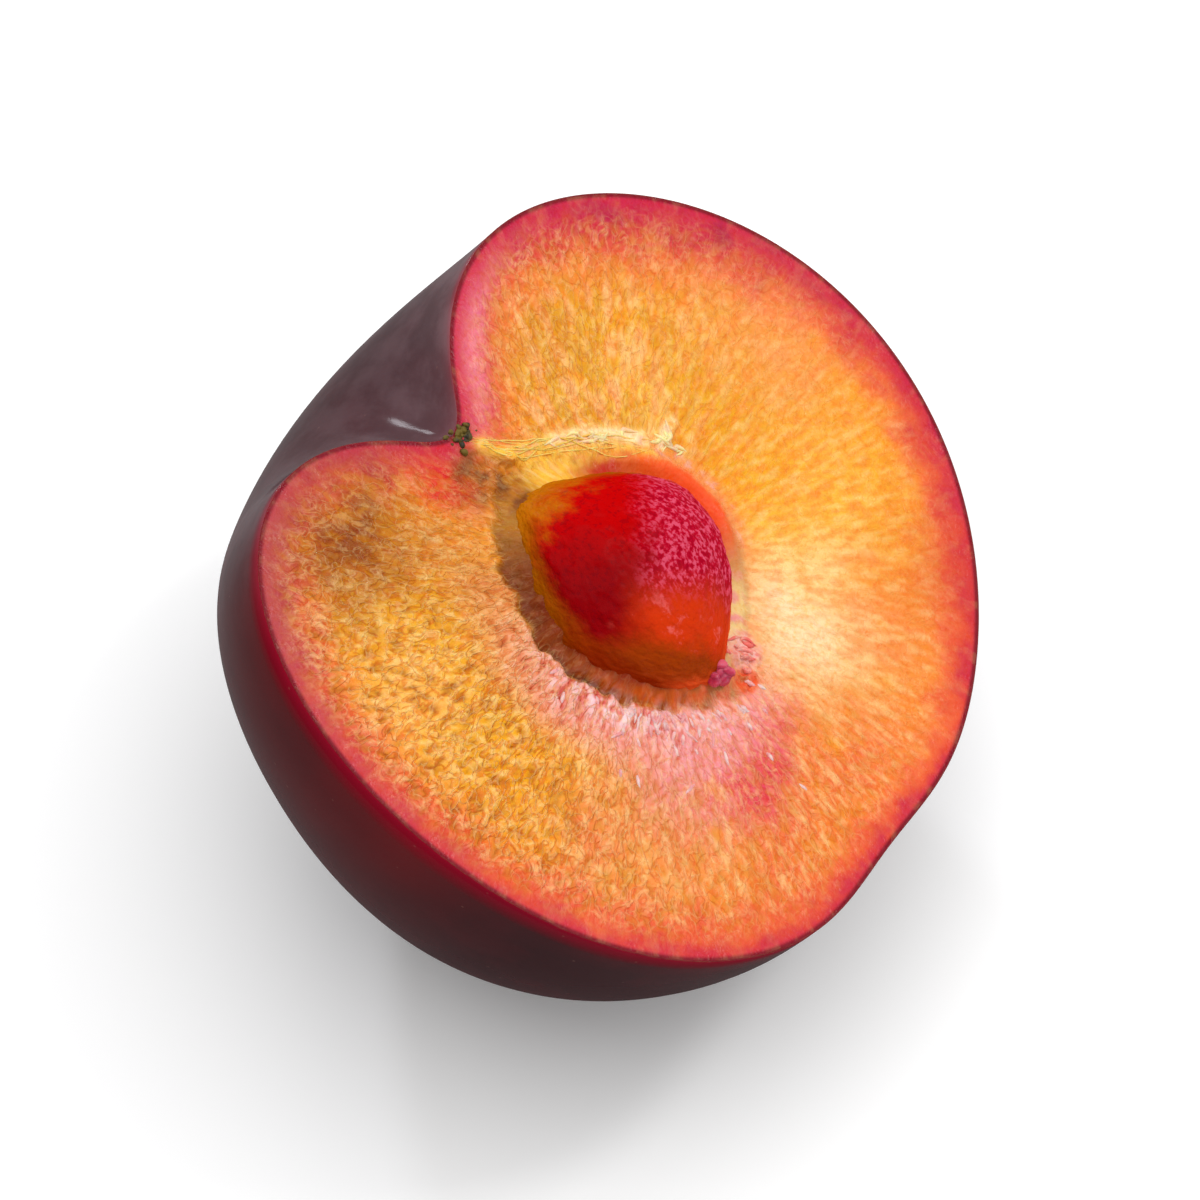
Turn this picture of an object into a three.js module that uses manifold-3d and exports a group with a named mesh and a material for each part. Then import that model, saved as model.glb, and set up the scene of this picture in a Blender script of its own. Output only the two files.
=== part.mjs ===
// Half of a dark plum, cut along its stem axis, lying on its rounded back with its stone still in place.
// Units are millimetres and +Z is up. The fruit is shaped in its own frame first: X across the cut face,
// Y along the stem axis toward the stem, and Z out of the cut face. It is then turned to the way it lies.
import * as THREE from "three";
import { mergeVertices } from "three/addons/utils/BufferGeometryUtils.js";
import Module from "manifold-3d";

const wasm = await Module();
wasm.setup();

// Driving dimensions of the fruit
const MEAN_RADIUS = 31.9;
const STEM_CAVITY_DEPTH = 14.4;
const STEM_CAVITY_SPREAD = 0.4;
const STEM_CAVITY_POWER = 1.55;
const BLOSSOM_DIMPLE_DEPTH = 1.6;
const BLOSSOM_DIMPLE_SPREAD = 0.3;
const STEM_SCAR_HEIGHT = 0.9;
const STEM_SCAR_SPREAD = 0.09;

// How the fruit differs from a ball, as shares of its mean radius
const SHORTER_ALONG = -0.1;
const BLUNTER_STEM_END = 0.03;
const WIDER_RIGHT_CHEEK = 0.1;
const FLATTER_SIDES = -0.06;
const NARROWER_RIGHT_ENDS = -0.11;
const RIGHT_CHEEK_UP = 0.05;
const FULLER_BACK = 0.055;
const FULLER_BACK_UP = 0.04;
const FULLER_BACK_RIGHT = 0.065;
const FLATTER_BACK_ENDS = -0.03;
const FULLER_BACK_CORNER = 0.3;

// Driving dimensions of the stone and its hollow
const STONE_CENTRE_ACROSS = 1.5;
const STONE_CENTRE_ALONG = 0.3;
const STONE_CENTRE_OUT = 0.1;
const STONE_HALF_WIDTH = 8.3;
const STONE_HALF_LENGTH = 9.6;
const STONE_HALF_THICKNESS = 5.2;
const STONE_END_SHARPNESS = 0.3;
const STONE_BOW = 1.6;
const HOLLOW_SIDE_GAP = 0.9;
const HOLLOW_END_GAP = 1.1;
const HOLLOW_FLOOR_GAP = 0.4;

// How the half lies: the fruit's centre above the resting spot, and its turn in degrees
const FRUIT_CENTRE = new THREE.Vector3(4.12, -4.2, 31.64);
const TILT_HEADING = -18.5;
const FACE_TILT = 29;
const STEM_HEADING = 75.5;

// Mesh fineness
const FRUIT_SEGMENTS = 84;
const FRUIT_RINGS = 64;
const STONE_SEGMENTS = 40;
const STONE_RINGS = 26;
const RING_CROWDING = 0.25;

const SKIN_COLOUR = 0x3d0d1f;
const STONE_COLOUR = 0x9b1420;

/** A ball of direction points whose rings crowd toward both poles, where the fruit curves most. */
function directionBall(segments, rings, crowding) {
  const ball = new THREE.SphereGeometry(1, segments, rings);
  const position = ball.attributes.position;
  const point = new THREE.Vector3();
  for (let i = 0; i < position.count; i += 1) {
    point.fromBufferAttribute(position, i);
    const across = Math.hypot(point.x, point.z);
    const polar = Math.atan2(across, point.y);
    const crowded = polar - crowding * Math.sin(2 * polar);
    const grow = across > 1e-9 ? Math.sin(crowded) / across : 0;
    position.setXYZ(i, point.x * grow, Math.cos(crowded), point.z * grow);
  }
  return ball;
}

/** Distance from the fruit's centre to its skin, in the unit direction (x, y, z). */
function fruitRadius(x, y, z) {
  const back = z * z;
  const shape = 1
    + SHORTER_ALONG * y * y
    + BLUNTER_STEM_END * y * y * y
    + WIDER_RIGHT_CHEEK * x
    + FLATTER_SIDES * x * x
    + NARROWER_RIGHT_ENDS * x * y * y
    + RIGHT_CHEEK_UP * x * x * y
    + FULLER_BACK * back
    + FULLER_BACK_UP * back * y
    + FULLER_BACK_RIGHT * back * x
    + FLATTER_BACK_ENDS * back * y * y
    + FULLER_BACK_CORNER * back * x * y;
  const fromStem = Math.acos(Math.min(1, Math.max(-1, y)));
  const fromBlossom = Math.PI - fromStem;
  const stemCavity = STEM_CAVITY_DEPTH * Math.exp(-((fromStem / STEM_CAVITY_SPREAD) ** STEM_CAVITY_POWER));
  const dimple = BLOSSOM_DIMPLE_DEPTH * Math.exp(-((fromBlossom / BLOSSOM_DIMPLE_SPREAD) ** 2));
  const scar = STEM_SCAR_HEIGHT * Math.exp(-((fromStem / STEM_SCAR_SPREAD) ** 2));
  return MEAN_RADIUS * shape - stemCavity - dimple + scar;
}

/** The whole fruit's skin as a closed surface. */
function fruitSurface() {
  const surface = directionBall(FRUIT_SEGMENTS, FRUIT_RINGS, RING_CROWDING);
  const position = surface.attributes.position;
  for (let i = 0; i < position.count; i += 1) {
    const x = position.getX(i);
    const y = position.getY(i);
    const z = position.getZ(i);
    const radius = fruitRadius(x, y, z);
    position.setXYZ(i, x * radius, y * radius, z * radius);
  }
  return surface;
}

/** A flattened almond with two pointed ends, bowed slightly to the left toward its ends. */
function almondSurface(halfWidth, halfLength, halfThickness) {
  const surface = directionBall(STONE_SEGMENTS, STONE_RINGS, RING_CROWDING);
  const position = surface.attributes.position;
  for (let i = 0; i < position.count; i += 1) {
    const along = position.getY(i);
    const taper = Math.max(0, 1 - along * along) ** STONE_END_SHARPNESS;
    const x = STONE_CENTRE_ACROSS + position.getX(i) * taper * halfWidth - STONE_BOW * along * along;
    const y = STONE_CENTRE_ALONG + along * halfLength;
    const z = STONE_CENTRE_OUT + position.getZ(i) * taper * halfThickness;
    position.setXYZ(i, x, y, z);
  }
  return surface;
}

/** Turns a closed three.js geometry into a solid for cutting and joining. */
function toSolid(geometry) {
  const bare = geometry.clone();
  bare.deleteAttribute("normal");
  bare.deleteAttribute("uv");
  const merged = mergeVertices(bare, 1e-5);
  const mesh = new wasm.Mesh({
    numProp: 3,
    vertProperties: new Float32Array(merged.attributes.position.array),
    triVerts: new Uint32Array(merged.index.array),
  });
  return new wasm.Manifold(mesh);
}

/** Turns a solid back into a three.js geometry. */
function toGeometry(solid) {
  const mesh = solid.getMesh();
  const geometry = new THREE.BufferGeometry();
  geometry.setAttribute("position", new THREE.BufferAttribute(new Float32Array(mesh.vertProperties), 3));
  geometry.setIndex(new THREE.BufferAttribute(new Uint32Array(mesh.triVerts), 1));
  geometry.computeVertexNormals();
  return geometry;
}

/** A large block that fills one side of the plane z = 0: the upper side, or the lower one. */
function halfSpace(upper) {
  const side = 200;
  const block = new THREE.BoxGeometry(side, side, side);
  block.translate(0, 0, upper ? side / 2 : -side / 2);
  return toSolid(block);
}

/** The turn and shift from the fruit's own frame to the way it lies. */
function lyingPose() {
  const degrees = THREE.MathUtils.degToRad;
  const pose = new THREE.Matrix4().makeTranslation(FRUIT_CENTRE);
  pose.multiply(new THREE.Matrix4().makeRotationZ(degrees(TILT_HEADING)));
  pose.multiply(new THREE.Matrix4().makeRotationY(degrees(FACE_TILT)));
  pose.multiply(new THREE.Matrix4().makeRotationZ(degrees(STEM_HEADING)));
  return pose;
}

/** The kept half: cut flat, hollowed for the stone, and flattened where it rests. */
function plumHalfGeometry() {
  const hollow = almondSurface(
    STONE_HALF_WIDTH + HOLLOW_SIDE_GAP,
    STONE_HALF_LENGTH + HOLLOW_END_GAP,
    STONE_HALF_THICKNESS + HOLLOW_FLOOR_GAP,
  );
  const half = toSolid(fruitSurface()).subtract(halfSpace(true)).subtract(toSolid(hollow));
  const lying = toGeometry(half).applyMatrix4(lyingPose());
  return toGeometry(toSolid(lying).subtract(halfSpace(false)));
}

/** The stone, standing about half its thickness out of the cut face. */
function stoneGeometry() {
  const stone = almondSurface(STONE_HALF_WIDTH, STONE_HALF_LENGTH, STONE_HALF_THICKNESS);
  return toGeometry(toSolid(stone)).applyMatrix4(lyingPose());
}

/** One named mesh with its own material. */
function piece(name, geometry, colour, roughness) {
  geometry.computeVertexNormals();
  const material = new THREE.MeshStandardMaterial({ color: colour, roughness, metalness: 0, name });
  const mesh = new THREE.Mesh(geometry, material);
  mesh.name = name;
  return mesh;
}

const plum = new THREE.Group();
plum.name = "halved_plum";
plum.add(piece("plum_half", plumHalfGeometry(), SKIN_COLOUR, 0.3));
plum.add(piece("stone", stoneGeometry(), STONE_COLOUR, 0.55));

export default plum;
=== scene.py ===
"""Looks of a halved dark plum with its stone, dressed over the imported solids.

The fruit is shaped in its own frame in millimetres: X across the cut face, Y along the stem
axis toward the stem, and Z out of the cut face. Every mesh is then turned to the way the half lies.
"""

from __future__ import annotations

import logging
import math
from dataclasses import dataclass, field
from enum import Enum
from typing import Callable, Sequence

import bmesh
import bpy
import numpy as np
from mathutils import Matrix, Vector
from mathutils.kdtree import KDTree


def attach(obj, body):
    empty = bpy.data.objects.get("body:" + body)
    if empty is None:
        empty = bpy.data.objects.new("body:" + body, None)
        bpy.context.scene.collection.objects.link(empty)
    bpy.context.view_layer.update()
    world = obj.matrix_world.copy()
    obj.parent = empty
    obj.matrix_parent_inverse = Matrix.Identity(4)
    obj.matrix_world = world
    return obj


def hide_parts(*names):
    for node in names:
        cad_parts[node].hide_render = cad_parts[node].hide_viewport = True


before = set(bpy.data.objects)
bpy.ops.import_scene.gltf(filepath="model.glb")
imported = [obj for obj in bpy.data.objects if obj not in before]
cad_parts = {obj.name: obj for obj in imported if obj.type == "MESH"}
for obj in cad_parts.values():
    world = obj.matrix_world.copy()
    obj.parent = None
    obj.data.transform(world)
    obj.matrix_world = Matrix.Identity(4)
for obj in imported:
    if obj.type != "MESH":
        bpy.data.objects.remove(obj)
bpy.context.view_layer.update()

LOG = logging.getLogger("plum")
MM = 0.001

Colour = tuple[float, float, float]
Point = tuple[float, float, float]
Lay = Callable[[Colour, np.ndarray], None]
WHITE: Colour = (1.0, 1.0, 1.0)
FAR_AWAY = 1e9


class Block(Enum):
    """The blocks of points that make up the half's closed mesh."""

    FACE = "face"
    OUTLINE = "outline"
    HOLLOW = "hollow"
    SKIN = "skin"


def paint(red: int, green: int, blue: int) -> Colour:
    """Turns a screen colour of 0 to 255 into a linear one.

    Args:
        red: Red of the screen colour.
        green: Green of the screen colour.
        blue: Blue of the screen colour.

    Returns:
        The linear colour.
    """
    channels = []
    for channel in (red, green, blue):
        share = channel / 255
        low = share / 12.92
        high = ((share + 0.055) / 1.055) ** 2.4
        channels.append(low if share <= 0.04045 else high)
    return channels[0], channels[1], channels[2]


def smooth_step(low: float, high: float, value: np.ndarray) -> np.ndarray:
    """Rises smoothly from 0 at low to 1 at high.

    Args:
        low: The value at which the rise starts.
        high: The value at which the rise ends.
        value: The values to read.

    Returns:
        A share from 0 to 1 for each value.
    """
    share = np.clip((value - low) / (high - low), 0.0, 1.0)
    return share * share * (3.0 - 2.0 * share)


def falling(low: float, high: float, value: np.ndarray) -> np.ndarray:
    """Falls smoothly from 1 at low to 0 at high."""
    return 1.0 - smooth_step(low, high, value)


def bell(gap: np.ndarray, width: float) -> np.ndarray:
    """A soft bump of 1 where the gap is 0, which falls to about a third at its width."""
    return np.exp(-((gap / width) ** 2))


@dataclass(frozen=True)
class LyingPose:
    """The turn and shift from the fruit's own frame to the way the half lies."""

    centre_mm: Point = (4.12, -4.2, 31.64)
    tilt_heading: float = -18.5
    face_tilt: float = 29.0
    stem_heading: float = 75.5

    def turn(self) -> Matrix:
        """The turn alone, as a 3 by 3 matrix.

        Returns:
            The turn's matrix.
        """
        heading = Matrix.Rotation(math.radians(self.tilt_heading), 3, "Z")
        tilt = Matrix.Rotation(math.radians(self.face_tilt), 3, "Y")
        stem = Matrix.Rotation(math.radians(self.stem_heading), 3, "Z")
        return heading @ tilt @ stem

    def place(self, points: np.ndarray) -> np.ndarray:
        """Moves points of the fruit's own frame to the row frame.

        Args:
            points: An array of N by 3 in millimetres.

        Returns:
            An array of N by 3 in metres.
        """
        turned = points @ np.array(self.turn()).T
        return (turned + np.array(self.centre_mm)) * MM


class Grain:
    """Repeatable gradient noise with values of about -1 to 1."""

    cells: int = 256
    widest_shift: float = 64.0
    gain: float = 1.6
    layer_shift: float = 17.3
    layer_gain: float = 1.5
    stroke_steps: int = 7
    stroke_contrast: float = 1.25

    def __init__(self, seed: int) -> None:
        """Draws the lattice's order and leanings from the seed.

        Args:
            seed: The seed of the noise.
        """
        draw = np.random.default_rng(seed)
        self.order = draw.permutation(self.cells)
        lean = draw.normal(size=(self.cells, 3))
        self.lean = lean / np.linalg.norm(lean, axis=1)[:, None]
        self.shift = draw.uniform(0.0, self.widest_shift, 3)

    def _corner(self, cell: np.ndarray) -> np.ndarray:
        """The leaning of the lattice at whole-number cells.

        Args:
            cell: Whole-number cells, N by 3.

        Returns:
            A unit vector for each cell.
        """
        index = 0
        for axis in range(3):
            index = self.order[(index + cell[:, axis]) % self.cells]
        return self.lean[index]

    def at(self, points: np.ndarray, size: float) -> np.ndarray:
        """Reads the noise.

        Args:
            points: An array of N by 3.
            size: The size of one cell of the noise, in the units of the points.

        Returns:
            One value for each point.
        """
        scaled = points / size + self.shift
        cell = np.floor(scaled).astype(np.int64)
        inside = scaled - cell
        fade = inside**3 * (inside * (inside * 6.0 - 15.0) + 10.0)
        total = np.zeros(len(points))
        for corner in np.ndindex(2, 2, 2):
            step = np.array(corner)
            lean = self._corner(cell + step)
            near = np.prod(np.where(step == 1, fade, 1.0 - fade), axis=1)
            total += near * np.sum(lean * (inside - step), axis=1)
        return total * self.gain

    def layered(self, points: np.ndarray, size: float, layers: int = 3) -> np.ndarray:
        """Adds up finer and fainter layers of the noise.

        Args:
            points: An array of N by 3.
            size: The cell size of the coarsest layer.
            layers: How many layers there are, each half the size and strength of the last.

        Returns:
            One value for each point.
        """
        total = np.zeros(len(points))
        for layer in range(layers):
            total += self.at(points + self.layer_shift * layer, size / 2**layer) / 2**layer
        return total / self.layer_gain

    def strokes(self, points: np.ndarray, heading: np.ndarray, size: float, reach: float) -> np.ndarray:
        """Noise drawn out along a heading, so that it forms short wormlike strokes.

        Args:
            points: An array of N by 3.
            heading: Unit headings, N by 3.
            size: The cell size of the noise before it is drawn out.
            reach: How far it is drawn out to each side.

        Returns:
            One value for each point, of about -1 in the furrows to 1 on the strokes.
        """
        total = np.zeros(len(points))
        for step in np.linspace(-1.0, 1.0, self.stroke_steps):
            total += (1.0 - 0.5 * step * step) * self.at(points + heading * (step * reach), size)
        return np.tanh(self.stroke_contrast * total / total.std())


@dataclass(frozen=True)
class FruitShape:
    """The radius rule of the fruit and the almond rule of its stone, in millimetres."""

    mean_radius: float = 31.9
    shorter_along: float = -0.1
    blunter_stem_end: float = 0.03
    wider_right_cheek: float = 0.1
    flatter_sides: float = -0.06
    narrower_right_ends: float = -0.11
    right_cheek_up: float = 0.05
    fuller_back: float = 0.055
    fuller_back_up: float = 0.04
    fuller_back_right: float = 0.065
    flatter_back_ends: float = -0.03
    fuller_back_corner: float = 0.3
    stem_depth: float = 14.4
    stem_spread: float = 0.4
    stem_power: float = 1.55
    dimple_depth: float = 1.6
    dimple_spread: float = 0.3
    scar_height: float = 0.9
    scar_spread: float = 0.09
    stone_centre: Point = (1.5, 0.3, 0.1)
    stone_half: Point = (8.3, 9.6, 5.2)
    stone_sharpness: float = 0.3
    stone_bow: float = 1.6
    lip_centre: Point = (1.9, 0.4, 0.0)
    lip_half: Point = (10.1, 11.4, 6.0)
    lip_seed: int = 29
    tears: tuple[Point, ...] = ((0.5, 0.16, 0.0), (0.34, 0.07, 5.0))
    end_depth: float = 1.7
    rim_points: int = 1441

    def radius(self, direction: np.ndarray) -> np.ndarray:
        """Distance from the fruit's centre to its skin.

        Args:
            direction: Unit directions, N by 3.

        Returns:
            One distance for each direction.
        """
        x, y, z = direction.T
        back = z * z
        shape = 1.0 + self.shorter_along * y * y + self.blunter_stem_end * y**3
        shape = shape + self.wider_right_cheek * x + self.flatter_sides * x * x
        shape += self.narrower_right_ends * x * y * y + self.right_cheek_up * x * x * y
        fuller = self.fuller_back + self.fuller_back_up * y + self.fuller_back_right * x
        shape += back * (fuller + self.flatter_back_ends * y * y + self.fuller_back_corner * x * y)
        from_stem = np.arccos(np.clip(y, -1.0, 1.0))
        from_blossom = math.pi - from_stem
        stem = self.stem_depth * np.exp(-((from_stem / self.stem_spread) ** self.stem_power))
        dimple = self.dimple_depth * bell(from_blossom, self.dimple_spread)
        scar = self.scar_height * bell(from_stem, self.scar_spread)
        return self.mean_radius * shape - stem - dimple + scar

    def almond_rim(self, bearing: np.ndarray, centre: Point, half: Point) -> np.ndarray:
        """Distance from the lip's centre to an almond outline on the cut face.

        Args:
            bearing: Directions on the cut face in radians, anticlockwise from +X.
            centre: The almond's centre.
            half: Half the almond's width and length.

        Returns:
            One distance for each bearing.
        """
        turn = np.linspace(-math.pi, math.pi, self.rim_points)
        along = np.sin(turn)
        taper = np.maximum(0.0, 1.0 - along**2) ** self.stone_sharpness
        x = centre[0] - self.lip_centre[0] + np.cos(turn) * taper * half[0] - self.stone_bow * along**2
        y = centre[1] - self.lip_centre[1] + along * half[1]
        angle = np.unwrap(np.arctan2(y, x))
        order = np.argsort(angle)
        return np.interp(bearing, angle[order], np.hypot(x, y)[order], period=2 * math.pi)

    def lip(self, bearing: np.ndarray) -> np.ndarray:
        """Distance from the lip's centre to the lip, where the flesh starts to fall to the stone."""
        return self.almond_rim(bearing, self.lip_centre, self.lip_half)

    def ragged_lip(self, bearing: np.ndarray) -> np.ndarray:
        """The lip's distance, torn unevenly on the side where the flesh clings to the stone.

        Args:
            bearing: Directions on the cut face in radians.

        Returns:
            One distance for each bearing.
        """
        ring = np.stack([np.cos(bearing), np.sin(bearing), np.zeros_like(bearing)], axis=1)
        grain = Grain(self.lip_seed)
        tear = sum(depth * grain.at(ring + shift, size) for depth, size, shift in self.tears)
        return self.lip(bearing) + tear * smooth_step(0.75, -0.1, ring[:, 0])

    def foot(self, bearing: np.ndarray, overlap: float) -> np.ndarray:
        """Distance from the lip's centre to the flesh's hidden edge inside the stone.

        Args:
            bearing: Directions on the cut face in radians.
            overlap: How far inside the stone the edge lies at its sides. It lies deeper at the ends.

        Returns:
            One distance for each bearing.
        """
        rim = self.almond_rim(bearing, self.stone_centre, self.stone_half)
        return rim - overlap * (1.0 + self.end_depth * np.sin(bearing) ** 6)


@dataclass(frozen=True)
class Patch:
    """A soft oval patch of colour on the cut face, in millimetres across and along the fruit."""

    across: float
    along: float
    wide: float
    tall: float
    turn: float
    colour: Colour
    strength: float

    def cover(self, across: np.ndarray, along: np.ndarray) -> np.ndarray:
        """How strongly the patch covers each place.

        Args:
            across: Places across the fruit.
            along: Places along the fruit.

        Returns:
            A share from 0 to the patch's strength.
        """
        angle = math.radians(self.turn)
        x = across - self.across
        y = along - self.along
        major = (x * math.cos(angle) + y * math.sin(angle)) / self.wide
        minor = (y * math.cos(angle) - x * math.sin(angle)) / self.tall
        return self.strength * np.exp(-(major**2 + minor**2))


GOLD = paint(238, 160, 8)
YELLOW = paint(246, 190, 60)
AMBER = paint(242, 152, 24)
ORANGE = paint(240, 128, 26)
TANGERINE = paint(240, 128, 56)
PEACH = paint(240, 136, 76)
SALMON = paint(236, 104, 60)
CORAL = paint(222, 70, 44)
CRIMSON = paint(196, 26, 66)
MAGENTA = paint(172, 14, 66)
MAUVE = paint(176, 76, 78)
ROSE = paint(236, 124, 148)
CREAM = paint(246, 212, 140)
BLUSH_WHITE = paint(244, 184, 184)
OLIVE = paint(128, 56, 2)
MUSTARD = paint(168, 92, 4)
RUST = paint(172, 80, 18)
CREVICE_SHADE_UMBER = paint(60, 22, 4)
WINE = paint(122, 4, 28)
FLAME = paint(236, 78, 20)

# Each patch has its place, half width and height in millimetres, turn in degrees, colour and strength. The
# pale yellow and cream patches on the right are partly painted light, and the darker brown-gold ones on the
# left and upper left are partly painted shade
FLESH_PATCHES = (
    Patch(16.0, 13.0, 9.0, 6.0, 0.0, GOLD, 0.7),
    Patch(9.0, 14.0, 5.0, 3.5, 0.0, AMBER, 0.6),
    Patch(18.5, 4.5, 7.5, 7.0, 0.0, paint(232, 164, 6), 0.9),
    Patch(13.0, 9.0, 4.5, 4.0, 0.0, YELLOW, 0.7),
    Patch(18.5, -8.0, 6.0, 5.5, 0.0, YELLOW, 0.75),
    Patch(13.6, -4.6, 2.2, 4.6, -20.0, paint(240, 178, 16), 0.9),
    Patch(-12.5, 7.5, 6.5, 8.5, 20.0, paint(236, 166, 4), 0.95),
    Patch(-12.2, 15.8, 6.2, 5.2, 10.0, paint(196, 112, 0), 0.9),
    Patch(-7.5, 8.8, 2.4, 6.0, 10.0, paint(196, 108, 30), 0.6),
    Patch(-16.5, 2.0, 5.0, 6.0, 0.0, paint(236, 168, 4), 0.9),
    Patch(-14.5, -8.5, 6.0, 4.0, 40.0, GOLD, 0.7),
    Patch(-13.5, -14.5, 6.0, 4.0, 35.0, PEACH, 0.7),
    Patch(13.5, -17.0, 8.0, 4.2, -35.0, TANGERINE, 0.95),
    Patch(4.0, -20.5, 7.0, 4.0, -15.0, SALMON, 0.9),
    Patch(-6.5, -20.5, 6.5, 4.2, 15.0, SALMON, 0.95),
    Patch(-3.0, -13.4, 7.5, 3.4, 12.0, ROSE, 1.0),
    Patch(-2.4, -16.0, 4.0, 1.9, 20.0, paint(220, 40, 76), 0.95),
    Patch(8.8, -11.2, 4.2, 6.0, 8.0, CREAM, 1.0),
    Patch(13.0, -9.0, 5.0, 2.2, -30.0, CREAM, 0.8),
    Patch(10.5, 19.0, 3.5, 1.6, 10.0, PEACH, 0.7),
    Patch(1.0, 15.6, 0.9, 0.8, 0.0, paint(52, 44, 8), 0.9),
)

# These are laid after the red band under the skin. The dark brown patch at the upper left is partly painted
# shade, and the near-white one below and right of the stone is partly a painted highlight
LATE_PATCHES = (
    Patch(-12.4, 17.0, 5.6, 3.9, 10.0, paint(134, 52, 0), 0.95),
    Patch(25.1, 3.6, 4.0, 5.5, 0.0, paint(246, 148, 92), 0.5),
    Patch(11.2, 15.9, 3.6, 2.8, 0.0, paint(218, 138, 24), 0.5),
    Patch(-3.1, 13.8, 2.3, 2.8, 20.0, paint(216, 14, 24), 1.0),
    Patch(-3.2, -16.2, 3.4, 1.9, 20.0, paint(224, 40, 84), 0.75),
    Patch(-8.3, -10.8, 4.2, 2.8, 0.0, paint(236, 134, 160), 0.65),
    Patch(-17.8, -3.5, 4.4, 3.6, 0.0, paint(240, 160, 2), 0.8),
    Patch(-18.4, 6.4, 3.6, 3.2, 0.0, paint(254, 184, 90), 0.8),
    Patch(-8.1, 7.9, 2.6, 3.4, 0.0, paint(214, 132, 30), 0.5),
    Patch(-17.1, -9.4, 4.2, 3.0, 30.0, paint(236, 112, 84), 0.6),
    Patch(21.5, -17.5, 4.0, 4.6, 0.0, paint(206, 54, 48), 0.5),
    Patch(8.4, -11.8, 3.6, 3.4, 0.0, paint(252, 228, 186), 0.7),
)


@dataclass(frozen=True)
class Ridge:
    """A soft crest that follows a path on the cut face."""

    path: tuple[tuple[float, float], ...]
    half_width: float

    def cover(self, flat: np.ndarray) -> np.ndarray:
        """How near each place lies to the crest.

        Args:
            flat: Points on the cut face, N by 3.

        Returns:
            A share from 0 to 1 for each place.
        """
        nearest = np.full(len(flat), FAR_AWAY)
        for first, last in zip(self.path[:-1], self.path[1:]):
            start = np.array(first)
            run = np.array(last) - start
            away = flat[:, :2] - start
            share = np.clip(away @ run / (run @ run), 0.0, 1.0)
            gap = away - share[:, None] * run
            nearest = np.minimum(nearest, np.hypot(gap[:, 0], gap[:, 1]))
        return bell(nearest, self.half_width)


TOP_RIDGE = Ridge(
    ((1.1, 14.2), (2.0, 12.5), (3.8, 11.4), (5.8, 10.5), (7.6, 9.3), (9.4, 7.8), (11.1, 5.8)), 0.55
)
RIDGE_SPUR = Ridge(((11.9, 4.5), (13.3, 5.0), (14.2, 4.9)), 0.35)
LOWER_FOLD = Ridge(((1.5, 13.0), (2.8, 11.0), (5.0, 9.8), (7.4, 8.3), (9.2, 6.6), (10.6, 4.6)), 0.4)


@dataclass
class FacePlaces:
    """Points of the cut face and of the slope inside its lip, and where each one lies."""

    flat: np.ndarray
    lip_gap: np.ndarray
    tuck: np.ndarray
    skin_gap: np.ndarray
    bearing: np.ndarray

    def toward(self, angle: float, spread: float) -> np.ndarray:
        """How squarely each place lies in one direction from the stone.

        Args:
            angle: The direction in degrees, anticlockwise from +X.
            spread: How many degrees off the share falls to about a third.

        Returns:
            A share from 0 to 1 for each place.
        """
        off = (np.degrees(self.bearing) - angle + 180.0) % 360.0 - 180.0
        return bell(off, spread)

    def outward(self) -> np.ndarray:
        """Unit headings away from the stone, N by 3."""
        return np.stack([np.cos(self.bearing), np.sin(self.bearing), np.zeros(len(self.bearing))], axis=1)


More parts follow.
